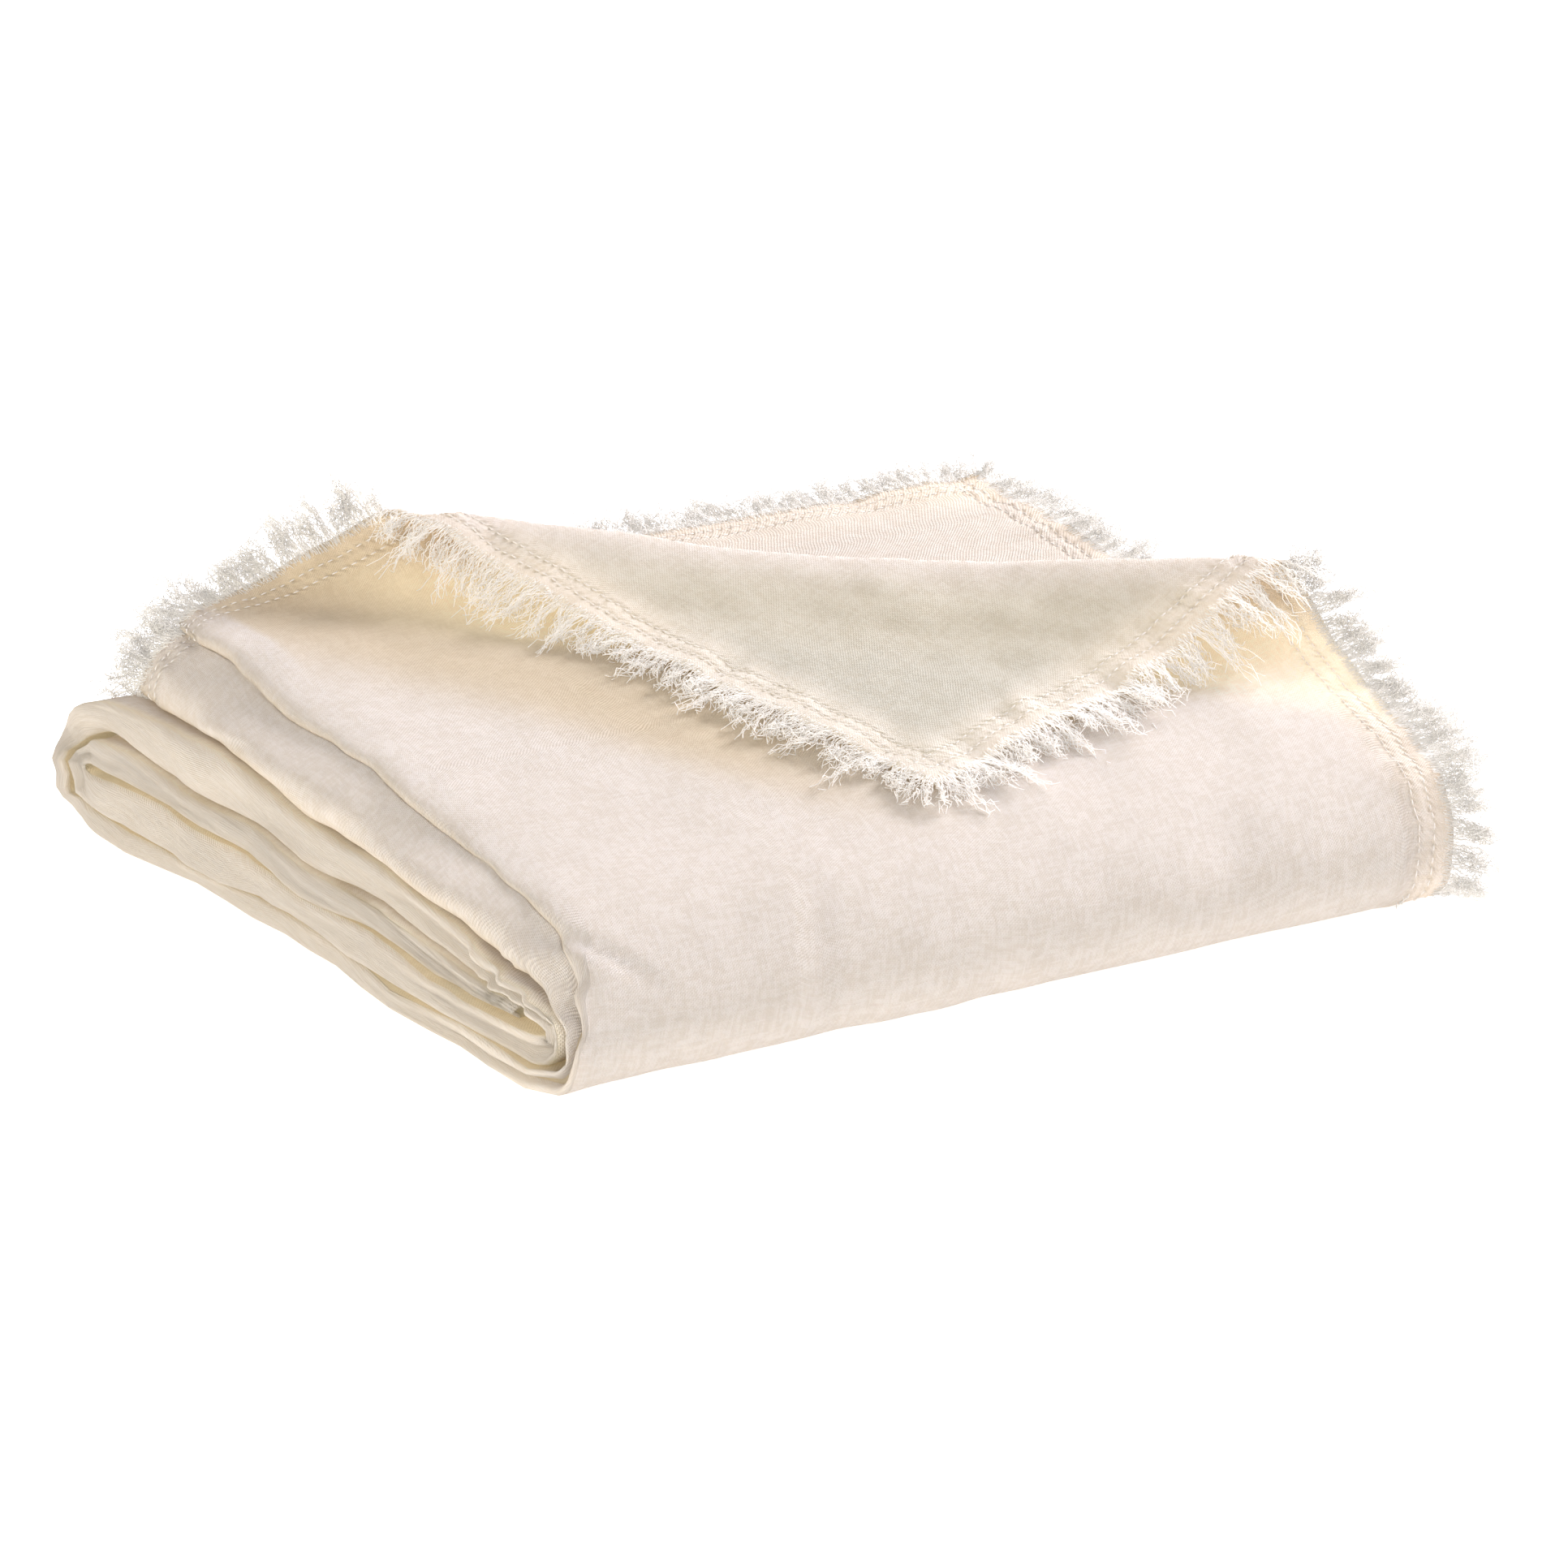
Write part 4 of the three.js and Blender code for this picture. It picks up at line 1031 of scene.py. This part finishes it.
def fringe_tree(material):
    """Loose curled threads standing in clumps along raw edges."""
    graph = GeometryGraph("frayed edge", FRINGE_SIZES)
    sizes = graph.sizes
    curve = graph.node("GeometryNodeMeshToCurve", None, {"Mesh": graph.geometry})
    roots = graph.node("GeometryNodeResampleCurve", {"mode": "LENGTH"},
                       {"Curve": curve, "Length": sizes["Spacing"]})
    place = graph.node("GeometryNodeSplineParameter", output="Length")
    clump = graph.math("FLOOR", place / sizes["Clump"])

    def chance(low, high, salt):
        """A number drawn for each thread."""
        return graph.node("FunctionNodeRandomValue", {"data_type": "FLOAT"},
                          {"Min": low, "Max": high, "Seed": sizes["Seed"] + salt}, "Value")

    def clump_chance(salt):
        """A number from 0 to 1 shared by the threads of a clump."""
        spot = graph.combined(X=clump, Y=sizes["Seed"] + salt)
        return graph.node("ShaderNodeTexWhiteNoise", {"noise_dimensions": "2D"}, {"Vector": spot}, "Value")

    kept = {
        "inset": chance(0.0, 1.0, 7) * sizes["Inset"],
        "reach": chance(sizes["Shortest"], sizes["Longest"], 1) * (
            LEAST_REACH + ADDED_REACH * graph.math("POWER", clump_chance(0.1), REACH_POWER)),
        "phase": clump_chance(0.45) * (2 * math.pi) + chance(*PHASE_RANGE, 2),
        "curl": chance(*CURL_RANGE, 3),
        "turns": LEAST_TURNS + ADDED_TURNS * clump_chance(0.75) + chance(*TURNS_RANGE, 4),
        "pull": ((clump + 0.5) * sizes["Clump"] - place) * sizes["Pull"] * chance(*PULL_RANGE, 8),
        "lean": (clump_chance(0.3) - 0.5) * sizes["Lean"] + chance(*LEAN_RANGE, 5) * sizes["Lean"],
        "lift": clump_chance(0.6) * sizes["Lift"] + chance(*LIFT_RANGE, 6) * sizes["Lift"],
    }
    roots = graph.store(roots, "root", "FLOAT_VECTOR", graph.node("GeometryNodeInputPosition"))
    for name, value in kept.items():
        roots = graph.store(roots, name, "FLOAT", value)
    line = graph.node("GeometryNodeCurvePrimitiveLine", output="Curve")
    thread = graph.node("GeometryNodeResampleCurve", {"mode": "COUNT"},
                        {"Curve": line, "Count": THREAD_POINTS})
    copies = graph.node("GeometryNodeInstanceOnPoints", None, {"Points": roots, "Instance": thread})
    threads = graph.node("GeometryNodeRealizeInstances", None, {"Geometry": copies})

    share = graph.node("GeometryNodeSplineParameter", output="Factor")
    own = {name: graph.attribute(name, "FLOAT") for name in kept}
    out, lie, way = (graph.attribute(name, "FLOAT_VECTOR") for name in ("out", "lie", "way"))
    angle = own["phase"] + share * sizes["Turns"] * own["turns"] * (2 * math.pi)
    radius = own["curl"] * sizes["Curl"] * graph.math("POWER", share, CURL_POWER)
    root = graph.attribute("root", "FLOAT_VECTOR")
    stray = share * STRAY_PACE + own["phase"] * STRAY_START
    stir = graph.node("ShaderNodeTexNoise", {"noise_dimensions": "4D"},
                      {"Vector": root, "W": stray, "Scale": STRAY_SCALE, "Detail": 1.0}, "Color")
    drift = graph.scaled(graph.vector("SUBTRACT", stir, (0.5, 0.5, 0.5)), sizes["Drift"] * share)
    sideways = graph.math("COSINE", angle) * radius + own["pull"] * share + own["lean"] * share * share
    upwards = sizes["Off cloth"] + graph.math("SINE", angle) * radius + own["lift"] * share * share
    place = graph.joined(
        root,
        drift,
        graph.scaled(out, (own["reach"] + own["inset"]) * share - own["inset"]),
        graph.scaled(way, sideways),
        graph.scaled(lie, upwards),
        graph.scaled(graph.attribute("hang", "FLOAT_VECTOR"), share * share),
    )
    split = graph.node("ShaderNodeSeparateXYZ", None, {"Vector": place}, "X")
    height = graph.math("MAXIMUM", split.other("Z"), FLOOR_CLEARANCE)
    above = graph.combined(X=split, Y=split.other("Y"), Z=height)
    laid = graph.node("GeometryNodeSetPosition", None, {"Geometry": threads, "Position": above})
    tapered = graph.node("GeometryNodeSetCurveRadius", None,
                         {"Curve": laid, "Radius": 1.0 - THREAD_TAPER * share})
    profile = graph.node("GeometryNodeCurvePrimitiveCircle", {"mode": "RADIUS"},
                         {"Resolution": THREAD_SIDES, "Radius": sizes["Thread radius"]}, "Curve")
    # Painted light on lit threads, painted shade on the others
    lit_threads = graph.store(tapered, "bright", "FLOAT", sizes["Brightness"])
    mesh = graph.node("GeometryNodeCurveToMesh", None, {"Curve": lit_threads, "Profile Curve": profile})
    graph.finish(graph.node("GeometryNodeSetShadeSmooth", None, {"Geometry": mesh}), material)
    return graph


# Heights of the linen's relief in millimetres: the weave, the thick places of the yarn, the puckers of the
# hem and the grooves along its stitches
WEAVE_RELIEF = 0.16
SLUB_RELIEF = 0.3
TUCK_RELIEF = 1.1
GROOVE_DEPTH = 0.7
# Widths of a groove and of the puckered hem as shares of the row gap
GROOVE_WIDTH = 0.24
HEM_REACH = 0.95
# Even share of a groove, and the share that comes and goes with the stitches
GROOVE_EVEN = 0.55
GROOVE_SWING = 0.45
# Share of the shade in a groove, and its tone
GROOVE_SHADE = 0.38
GROOVE_TONE = (0.70, 0.67, 0.56)
# Threads of the weave to one thicker, uneven pair
THICK_THREADS = 2.2
# Height of a thread's round back, and what its thick places add to it
THREAD_ROUND = 0.55
THREAD_SWELL = 0.9
# Step in the slubs' pattern from one thread to the next, and where each kind of thread starts in it
SLUB_STEP = 7.31
WARP_START = 0.0
WEFT_START = 50.0
THICK_WARP_START = 90.0
THICK_WEFT_START = 140.0
# How strongly the slubs of single threads and of pairs and the mottle vary the tone, and how strongly the
# weave's height paints shade into the low places between threads
FINE_TONE = 2.1
THICK_TONE = 1.8
MOTTLE_TONE = 0.2
WEAVE_SHADE = 0.25
# Fineness of the mottle and of the hem's puckers
MOTTLE_SCALE = 55.0
TUCK_SCALE = 330.0
# Strength of the light that thin layers pass into their hollows
HOLLOW_GLOW = 0.30
# Tone and share of the light that passes through the linen
LINEN_THROUGH = (0.95, 0.80, 0.56)
LINEN_THROUGH_SHARE = 0.34
# Painted shade on loose threads: their colour is darkened by this tone as far as they lack painted light
FRINGE_SHADE_TONE = (0.84, 0.85, 0.835)
# Kinds of yarn: how fine its flecks are, its glow, which is painted light, and the share of the light that
# passes through it
Yarn = namedtuple("Yarn", "name fleck glow through")
SEWING_YARN = Yarn("sewing thread", 900.0, 0.0, 0.2)
LOOSE_YARN = Yarn("frayed linen", 400.0, 0.34, 0.55)
FLECK_CONTRAST = 1.6


def slub(graph, thread, run, start):
    """Thick and thin places along each thread."""
    spot = graph.combined(X=thread * SLUB_STEP + start, Y=run)
    return graph.noise(spot, 1.0, 2.0, dimensions="2D")


def thread_back(graph, place, thick):
    """Height of the threads' round backs over their places side by side."""
    return graph.math("SINE", graph.math("FRACT", place) * math.pi) * (THREAD_ROUND + thick * THREAD_SWELL)


def weave(graph, across, along, settings):
    """Height of the plain weave, and the uneven thickness of its threads and of thicker pairs."""
    warp, weft = across / settings.thread_pitch, along / settings.thread_pitch
    warp_run, weft_run = along / settings.slub_length, across / settings.slub_length
    warp_thread, weft_thread = graph.math("FLOOR", warp), graph.math("FLOOR", weft)
    warp_slub = slub(graph, warp_thread, warp_run, WARP_START)
    weft_slub = slub(graph, weft_thread, weft_run, WEFT_START)
    over = graph.math("PINGPONG", warp_thread + weft_thread, 1.0)
    height = thread_back(graph, warp, warp_slub) * over + thread_back(graph, weft, weft_slub) * (1 - over)
    thick_warp = slub(graph, graph.math("FLOOR", warp / THICK_THREADS), warp_run, THICK_WARP_START)
    thick_weft = slub(graph, graph.math("FLOOR", weft / THICK_THREADS), weft_run, THICK_WEFT_START)
    return height, warp_slub + weft_slub - 1.0, thick_warp + thick_weft - 1.0


def hem_relief(graph, across, along, place, settings):
    """Grooves along the two stitch rows, deepest where the stitches meet, and puckers about them."""
    edge = graph.field("edge")
    width = settings.row_gap * GROOVE_WIDTH
    outer = graph.bell((edge - settings.outer_row) / width)
    inner = graph.bell((edge - (settings.outer_row + settings.row_gap)) / width)
    turn = (across + along) * (2 * math.pi / settings.stitch_pitch)
    grooves = (outer + inner) * (GROOVE_EVEN + graph.math("COSINE", turn) * GROOVE_SWING)
    middle = (edge - settings.outer_row - settings.row_gap * 0.5) / (settings.row_gap * HEM_REACH)
    tucks = graph.bell(middle) * (graph.noise(place, TUCK_SCALE, 1.0, roughness=0.5) - 0.5)
    return grooves, tucks


def linen_material(settings):
    """Washed linen: plain weave of uneven threads with slubs, with painted warm half light in its hollows.
    """
    graph = MaterialGraph("washed linen")
    uv = graph.node("ShaderNodeUVMap", {"uv_map": "flat"})
    across = graph.node("ShaderNodeSeparateXYZ", None, {"Vector": uv}, "X")
    along = across.other("Y")
    place = graph.node("ShaderNodeTexCoord", output="Object")
    height, fine, thick = weave(graph, across, along, settings)
    grooves, tucks = hem_relief(graph, across, along, place, settings)
    mottle = graph.noise(place, MOTTLE_SCALE, 4.0)
    # Random tone from slubs and mottle, and painted shade where the weave lies low
    shade = (fine * FINE_TONE + thick * THICK_TONE + (mottle - 0.5) * MOTTLE_TONE
             + (height - 0.6) * WEAVE_SHADE)
    colour = graph.blend(settings.linen_dark, settings.linen_light, shade + 0.5)
    # The turned corner takes the reverse face's tone: partly its own tone, partly painted shade where it
    # faces away from the main light
    colour = graph.blend(colour, settings.reverse_tone_and_shade, graph.field("turned"), "MULTIPLY")
    # Painted warm half light: a darker, warmer colour in creases, in hollows and beside the turned corner,
    # where shade falls
    colour = graph.blend(colour, settings.half_light_tone, graph.field("hollow"), "MULTIPLY")
    colour = graph.blend(colour, GROOVE_TONE, grooves * GROOVE_SHADE, "MULTIPLY")
    relief = (height * WEAVE_RELIEF + (fine + thick) * SLUB_RELIEF + tucks * TUCK_RELIEF
              - grooves * GROOVE_DEPTH)
    graph.feed(graph.shader, {
        "Base Color": colour,
        "Roughness": 0.86 + height * 0.1,
        "Normal": graph.node("ShaderNodeBump", None, {"Strength": 1.0, "Distance": MM, "Height": relief}),
        "Emission Color": graph.blend((0, 0, 0), settings.hollow_glow, graph.field("glow")),
        "Emission Strength": HOLLOW_GLOW,
        "Specular IOR Level": 0.15,
        "Sheen Weight": 0.1,
        "Sheen Roughness": 0.6,
    })
    graph.let_light_through(LINEN_THROUGH, LINEN_THROUGH_SHARE)
    return graph.material


def thread_material(yarn, light, dark):
    """Linen yarn, uneven in tone from thread to thread, with painted light on lit threads and painted shade
    on the others; a share of the light passes through.
    """
    graph = MaterialGraph(yarn.name)
    fleck = graph.noise(graph.node("ShaderNodeTexCoord", output="Object"), yarn.fleck, 3.0)
    bright = graph.field("bright")
    colour = graph.blend(dark, light, (fleck - 0.5) * FLECK_CONTRAST + 0.5)
    graph.feed(graph.shader, {
        "Base Color": graph.blend(colour, FRINGE_SHADE_TONE, 1.0 - bright, "MULTIPLY"),
        "Roughness": 0.82 + fleck * 0.15,
        "Emission Color": graph.blend((0, 0, 0), light, bright),
        "Emission Strength": yarn.glow,
        "Specular IOR Level": 0.2,
        "Sheen Weight": 0.2,
    })
    graph.let_light_through(light, yarn.through)
    return graph.material


class ThrowSettings(bpy.types.PropertyGroup):
    """Sizes and colours of the throw."""

    thickness: bpy.props.FloatProperty(
        name="Cloth thickness", description="Thickness of the linen", default=0.0009, unit="LENGTH")
    thread_pitch: bpy.props.FloatProperty(
        name="Thread pitch", description="Distance between threads of the weave", default=0.0006,
        unit="LENGTH")
    slub_length: bpy.props.FloatProperty(
        name="Slub length", description="Length of the thick and thin places in the yarn", default=0.007,
        unit="LENGTH")
    linen_light: bpy.props.FloatVectorProperty(
        name="Light linen", description="Colour of the paler yarn", subtype="COLOR", size=3,
        default=(0.965, 0.915, 0.87))
    linen_dark: bpy.props.FloatVectorProperty(
        name="Dark linen", description="Colour of the deeper yarn", subtype="COLOR", size=3,
        default=(0.865, 0.80, 0.73))
    # Tone of the painted shade in creases, hollows and beside the turned corner
    half_light_tone: bpy.props.FloatVectorProperty(
        name="Hollow tone", description="Tone of the warm half light where layers press together",
        subtype="COLOR", size=3, default=(0.83, 0.745, 0.565))
    hollow_glow: bpy.props.FloatVectorProperty(
        name="Hollow glow", description="Colour of the light that passes into hollows", subtype="COLOR",
        size=3, default=(1.0, 0.94, 0.66))
    # Partly the reverse face's own tone, partly painted shade on the turned corner
    reverse_tone_and_shade: bpy.props.FloatVectorProperty(
        name="Reverse tone", description="Tone of the reverse face against the right one", subtype="COLOR",
        size=3, default=(0.775, 0.80, 0.74))
    fringe_light: bpy.props.FloatVectorProperty(
        name="Light fringe", description="Colour of the paler loose threads", subtype="COLOR", size=3,
        default=(0.975, 0.955, 0.93))
    fringe_dark: bpy.props.FloatVectorProperty(
        name="Dark fringe", description="Colour of the deeper loose threads", subtype="COLOR", size=3,
        default=(0.92, 0.89, 0.85))
    stitch_pitch: bpy.props.FloatProperty(
        name="Stitch pitch", description="Distance from stitch to stitch", default=0.0037, unit="LENGTH")
    outer_row: bpy.props.FloatProperty(
        name="Outer stitch row", description="Distance of the outer row from the raw edge", default=0.0078,
        unit="LENGTH")
    row_gap: bpy.props.FloatProperty(
        name="Row gap", description="Distance between the two stitch rows", default=0.0058, unit="LENGTH")
    fringe_length: bpy.props.FloatProperty(
        name="Fringe length", description="Length of the longest loose threads", default=0.0135,
        unit="LENGTH")
    thread_radius: bpy.props.FloatProperty(
        name="Thread radius", description="Radius of a loose thread", default=0.000135, unit="LENGTH")
    light_power: bpy.props.FloatProperty(
        name="Light power", description="Power of a soft light with a share of 1", default=100.0, min=0.0,
        unit="POWER")
    sky_strength: bpy.props.FloatProperty(
        name="Surrounding light", description="Strength of the even light from all round", default=0.57,
        min=0.0)


class THROW_OT_cloth(bpy.types.Operator):
    """Makes the folded cloth as one thin sheet"""

    bl_idname = "throw.cloth"
    bl_label = "Folded cloth"

    def execute(self, context):
        settings = context.scene.throw
        throw = Throw(settings.thickness / MM)
        rows, columns = throw.grid.shape[:2]
        number = np.arange(rows * columns).reshape(rows, columns)
        faces = np.stack([number[:-1, :-1], number[:-1, 1:], number[1:, 1:], number[1:, :-1]], axis=-1)
        points = ((throw.grid - ORIGIN) * MM).reshape(-1, 3)
        cloth = new_piece("cloth_sheet", points, faces=faces.reshape(-1, 4).tolist())
        mesh = cloth.data
        flat = np.stack([throw.across, throw.along], axis=-1).reshape(-1, 2) * MM
        corners = np.empty(len(mesh.loops), dtype=np.int32)
        mesh.loops.foreach_get("vertex_index", corners)
        mesh.uv_layers.new(name="flat").data.foreach_set("uv", flat[corners].astype(np.float32).ravel())
        # Besides the hem's edge distance and the turned share, these carry painted warm half light and
        # painted light through thin layers
        fields = {"edge": throw.edge_distance * MM, "turned": throw.turned, "hollow": throw.hollow,
                  "glow": throw.glow}
        for field, values in fields.items():
            attribute = mesh.attributes.new(field, "FLOAT", "POINT")
            attribute.data.foreach_set("value", values.astype(np.float32).ravel())
        mesh.polygons.foreach_set("use_smooth", np.ones(len(mesh.polygons), dtype=bool))
        mesh.materials.append(linen_material(settings))
        wall = cloth.modifiers.new("thickness", "SOLIDIFY")
        wall.thickness = settings.thickness
        wall.offset = 0.0
        keep_evaluated(cloth)
        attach(cloth, BODY)
        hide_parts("cloth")
        return {"FINISHED"}


class THROW_OT_stitches(bpy.types.Operator):
    """Sews the two rows of stitches along the raw edges"""

    bl_idname = "throw.stitches"
    bl_label = "Hem stitches"

    def execute(self, context):
        settings = context.scene.throw
        throw = Throw(settings.thickness / MM)
        lines = []
        shown = {"back": None, "right": throw.front_foot(),
                 "under right": throw.crest_row() + ROWS_PAST_CREST}
        for side, end in shown.items():
            for inset in (settings.outer_row, settings.outer_row + settings.row_gap):
                points, lies = throw.inset_line(side, inset / MM)
                # Stitches use only the normals, so these stand in for the other ways
                lines.append(EdgeLine(points[:end], *[lies[:end]] * 4))
        stitches = line_piece("hem_stitches", lines)
        graph = stitch_tree(thread_material(SEWING_YARN, settings.linen_light, settings.linen_dark))
        graph.bake(stitches, {
            "Stitch pitch": settings.stitch_pitch,
            "Stitch length": settings.stitch_pitch * STITCH_LENGTH,
            "Stitch width": settings.stitch_pitch * STITCH_WIDTH,
            "Stitch height": settings.thickness + STITCH_RISE,
        })
        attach(stitches, BODY)
        return {"FINISHED"}


# Habits of the frayed edges: which face of the cloth shows, how closely the threads stand, their share of
# the set length, how far they rise off the cloth's plane, lean along the edge and droop, their share of
# painted light against painted shade, curl and straying; lengths in metres
FringeHabit = namedtuple("FringeHabit", "face spacing share lift lean droop bright curl drift")
FRINGE_HABITS = {
    "fringe_back": FringeHabit(1, 0.00014, 1.45, 0.006, 0.010, 0.0, 0.5, 0.0021, 0.014),
    "fringe_flap_left": FringeHabit(-1, 0.00028, 1.2, 0.001, 0.012, 0.008, 0.78, 0.0011, 0.010),
    "fringe_flap_right": FringeHabit(-1, 0.00028, 1.2, 0.001, 0.012, 0.006, 0.78, 0.0011, 0.010),
    "fringe_right": FringeHabit(1, 0.00013, 1.55, 0.006, 0.010, 0.002, 0.45, 0.0019, 0.013),
    "fringe_under_back": FringeHabit(-1, 0.00018, 1.15, 0.007, 0.010, 0.0, 0.55, 0.0019, 0.013),
    "fringe_under_right": FringeHabit(-1, 0.00018, 1.15, 0.006, 0.010, 0.002, 0.5, 0.0019, 0.013),
    "fringe_lower": FringeHabit(1, 0.0014, 0.75, 0.002, 0.006, 0.003, 0.3, 0.0021, 0.014),
}


class THROW_OT_fringe(bpy.types.Operator):
    """Frays each raw edge into loose curled threads"""

    bl_idname = "throw.fringe"
    bl_label = "Frayed edges"

    def execute(self, context):
        settings = context.scene.throw
        throw = Throw(settings.thickness / MM)
        fold_end = throw.column_of("fourth layer")
        second = throw.column_of("second layer")
        last_column = throw.grid.shape[1] - 1
        last_row = throw.grid.shape[0] - 1
        crest_column, crest_row, foot = throw.crest_column(), throw.crest_row(), throw.front_foot()
        runs = {
            "fringe_back": [("back", fold_end, crest_column)],
            "fringe_flap_left": [("back", crest_column, 0)],
            "fringe_flap_right": [("right", 0, crest_row)],
            "fringe_right": [("right", crest_row, foot)],
            "fringe_under_back": [("back", second, last_column)],
            "fringe_under_right": [("under right", 0, crest_row)],
            "fringe_lower": [("right", foot, last_row), ("under right", crest_row, last_row),
                             ("back", fold_end, second)],
        }
        graph = fringe_tree(thread_material(LOOSE_YARN, settings.fringe_light, settings.fringe_dark))
        for number, (name, places) in enumerate(runs.items()):
            habit = FRINGE_HABITS[name]
            lines = [throw.edge_line(*place) for place in places]
            lines = [line._replace(lie=habit.face * line.lie, hang=np.maximum(line.hang, -habit.droop))
                     for line in lines]
            piece = line_piece(name + "_threads", lines)
            graph.bake(piece, {
                "Spacing": habit.spacing,
                "Inset": ROOT_INSET,
                "Off cloth": settings.thickness * 0.5 + settings.thread_radius,
                "Shortest": settings.fringe_length * SHORTEST_THREAD * habit.share,
                "Longest": settings.fringe_length * habit.share,
                "Thread radius": settings.thread_radius,
                "Curl": habit.curl,
                "Turns": CURL_TURNS,
                "Clump": CLUMP_WIDTH,
                "Pull": CLUMP_PULL,
                "Drift": habit.drift,
                "Lean": habit.lean,
                "Lift": habit.lift,
                "Brightness": habit.bright,
                "Seed": FIRST_SEED + SEED_STEP * number,
            })
            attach(piece, BODY)
            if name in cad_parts:
                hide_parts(name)
        return {"FINISHED"}


class THROW_OT_stage(bpy.types.Operator):
    """Adds the pale floor, the soft light and the camera"""

    bl_idname = "throw.stage"
    bl_label = "Stage"

    def execute(self, context):
        scene = context.scene
        settings = scene.throw
        self.add_floor()
        for lamp in LAMPS:
            self.add_light(lamp.name, lamp.place, lamp.size, settings.light_power * lamp.share, lamp.colour)
        world = bpy.data.worlds.new("surroundings")
        world.use_nodes = True
        sky = world.node_tree.nodes["Background"]
        sky.inputs["Color"].default_value = (*SKY_COLOUR, 1)
        sky.inputs["Strength"].default_value = settings.sky_strength
        scene.world = world
        scene.view_settings.view_transform = "Standard"
        self.add_camera(scene)
        return {"FINISHED"}

    def add_floor(self):
        """A wide pale floor that stays white under the soft light."""
        corners = [(x * FLOOR_REACH, y * FLOOR_REACH, 0) for x, y in ((-1, -1), (1, -1), (1, 1), (-1, 1))]
        floor = new_piece("floor", corners, faces=[(0, 1, 2, 3)])
        graph = MaterialGraph("pale floor")
        graph.feed(graph.shader, {
            "Base Color": (*FLOOR_COLOUR, 1),
            "Roughness": 0.9,
            "Specular IOR Level": 0.0,
            "Emission Color": (1.0, 1.0, 1.0, 1),
            "Emission Strength": FLOOR_GLOW,
        })
        floor.data.materials.append(graph.material)

    def add_light(self, name, place, size, power, colour):
        """A large soft panel that faces the throw."""
        lamp = bpy.data.lights.new(name, "AREA")
        lamp.shape = "DISK"
        lamp.size = size
        lamp.energy = power
        lamp.color = colour
        panel = bpy.data.objects.new(name, lamp)
        panel.location = place
        panel.rotation_euler = (LAMP_AIM - Vector(place)).to_track_quat("-Z", "Y").to_euler()
        bpy.context.scene.collection.objects.link(panel)

    def add_camera(self, scene):
        """The camera at the picture's viewing angle."""
        back = Vector((-math.sin(CAMERA_TURN) * math.cos(CAMERA_DROP),
                       -math.cos(CAMERA_TURN) * math.cos(CAMERA_DROP), math.sin(CAMERA_DROP)))
        right = Vector((math.cos(CAMERA_TURN), -math.sin(CAMERA_TURN), 0))
        up = back.cross(right)
        lens = bpy.data.cameras.new("camera")
        lens.sensor_width = CAMERA_FILM
        lens.lens = CAMERA_LENS
        lens.clip_end = CAMERA_SIGHT
        camera = bpy.data.objects.new("camera", lens)
        turn = Matrix((right, up, back)).transposed().to_4x4()
        camera.matrix_world = Matrix.Translation(CAMERA_PLACE) @ turn
        scene.collection.objects.link(camera)
        scene.camera = camera


class THROW_PT_panel(bpy.types.Panel):
    """Lists the throw's sizes and its pieces"""

    bl_label = "Folded throw"
    bl_idname = "THROW_PT_panel"
    bl_space_type = "VIEW_3D"
    bl_region_type = "UI"
    bl_category = "Throw"

    def draw(self, context):
        for name in ThrowSettings.__annotations__:
            self.layout.prop(context.scene.throw, name)
        for operator in OPERATORS:
            self.layout.operator(operator.bl_idname)


OPERATORS = (THROW_OT_cloth, THROW_OT_stitches, THROW_OT_fringe, THROW_OT_stage)
CLASSES = (ThrowSettings, *OPERATORS, THROW_PT_panel)


def register():
    """Registers the add-on's classes and its settings."""
    for cls in CLASSES:
        bpy.utils.register_class(cls)
    bpy.types.Scene.throw = bpy.props.PointerProperty(type=ThrowSettings)


def unregister():
    """Removes the add-on's settings and classes."""
    del bpy.types.Scene.throw
    for cls in reversed(CLASSES):
        bpy.utils.unregister_class(cls)


def main():
    """Builds the throw and its stage."""
    register()
    bpy.ops.throw.cloth()
    bpy.ops.throw.stitches()
    bpy.ops.throw.fringe()
    bpy.ops.throw.stage()


if __name__ == "__main__":
    main()
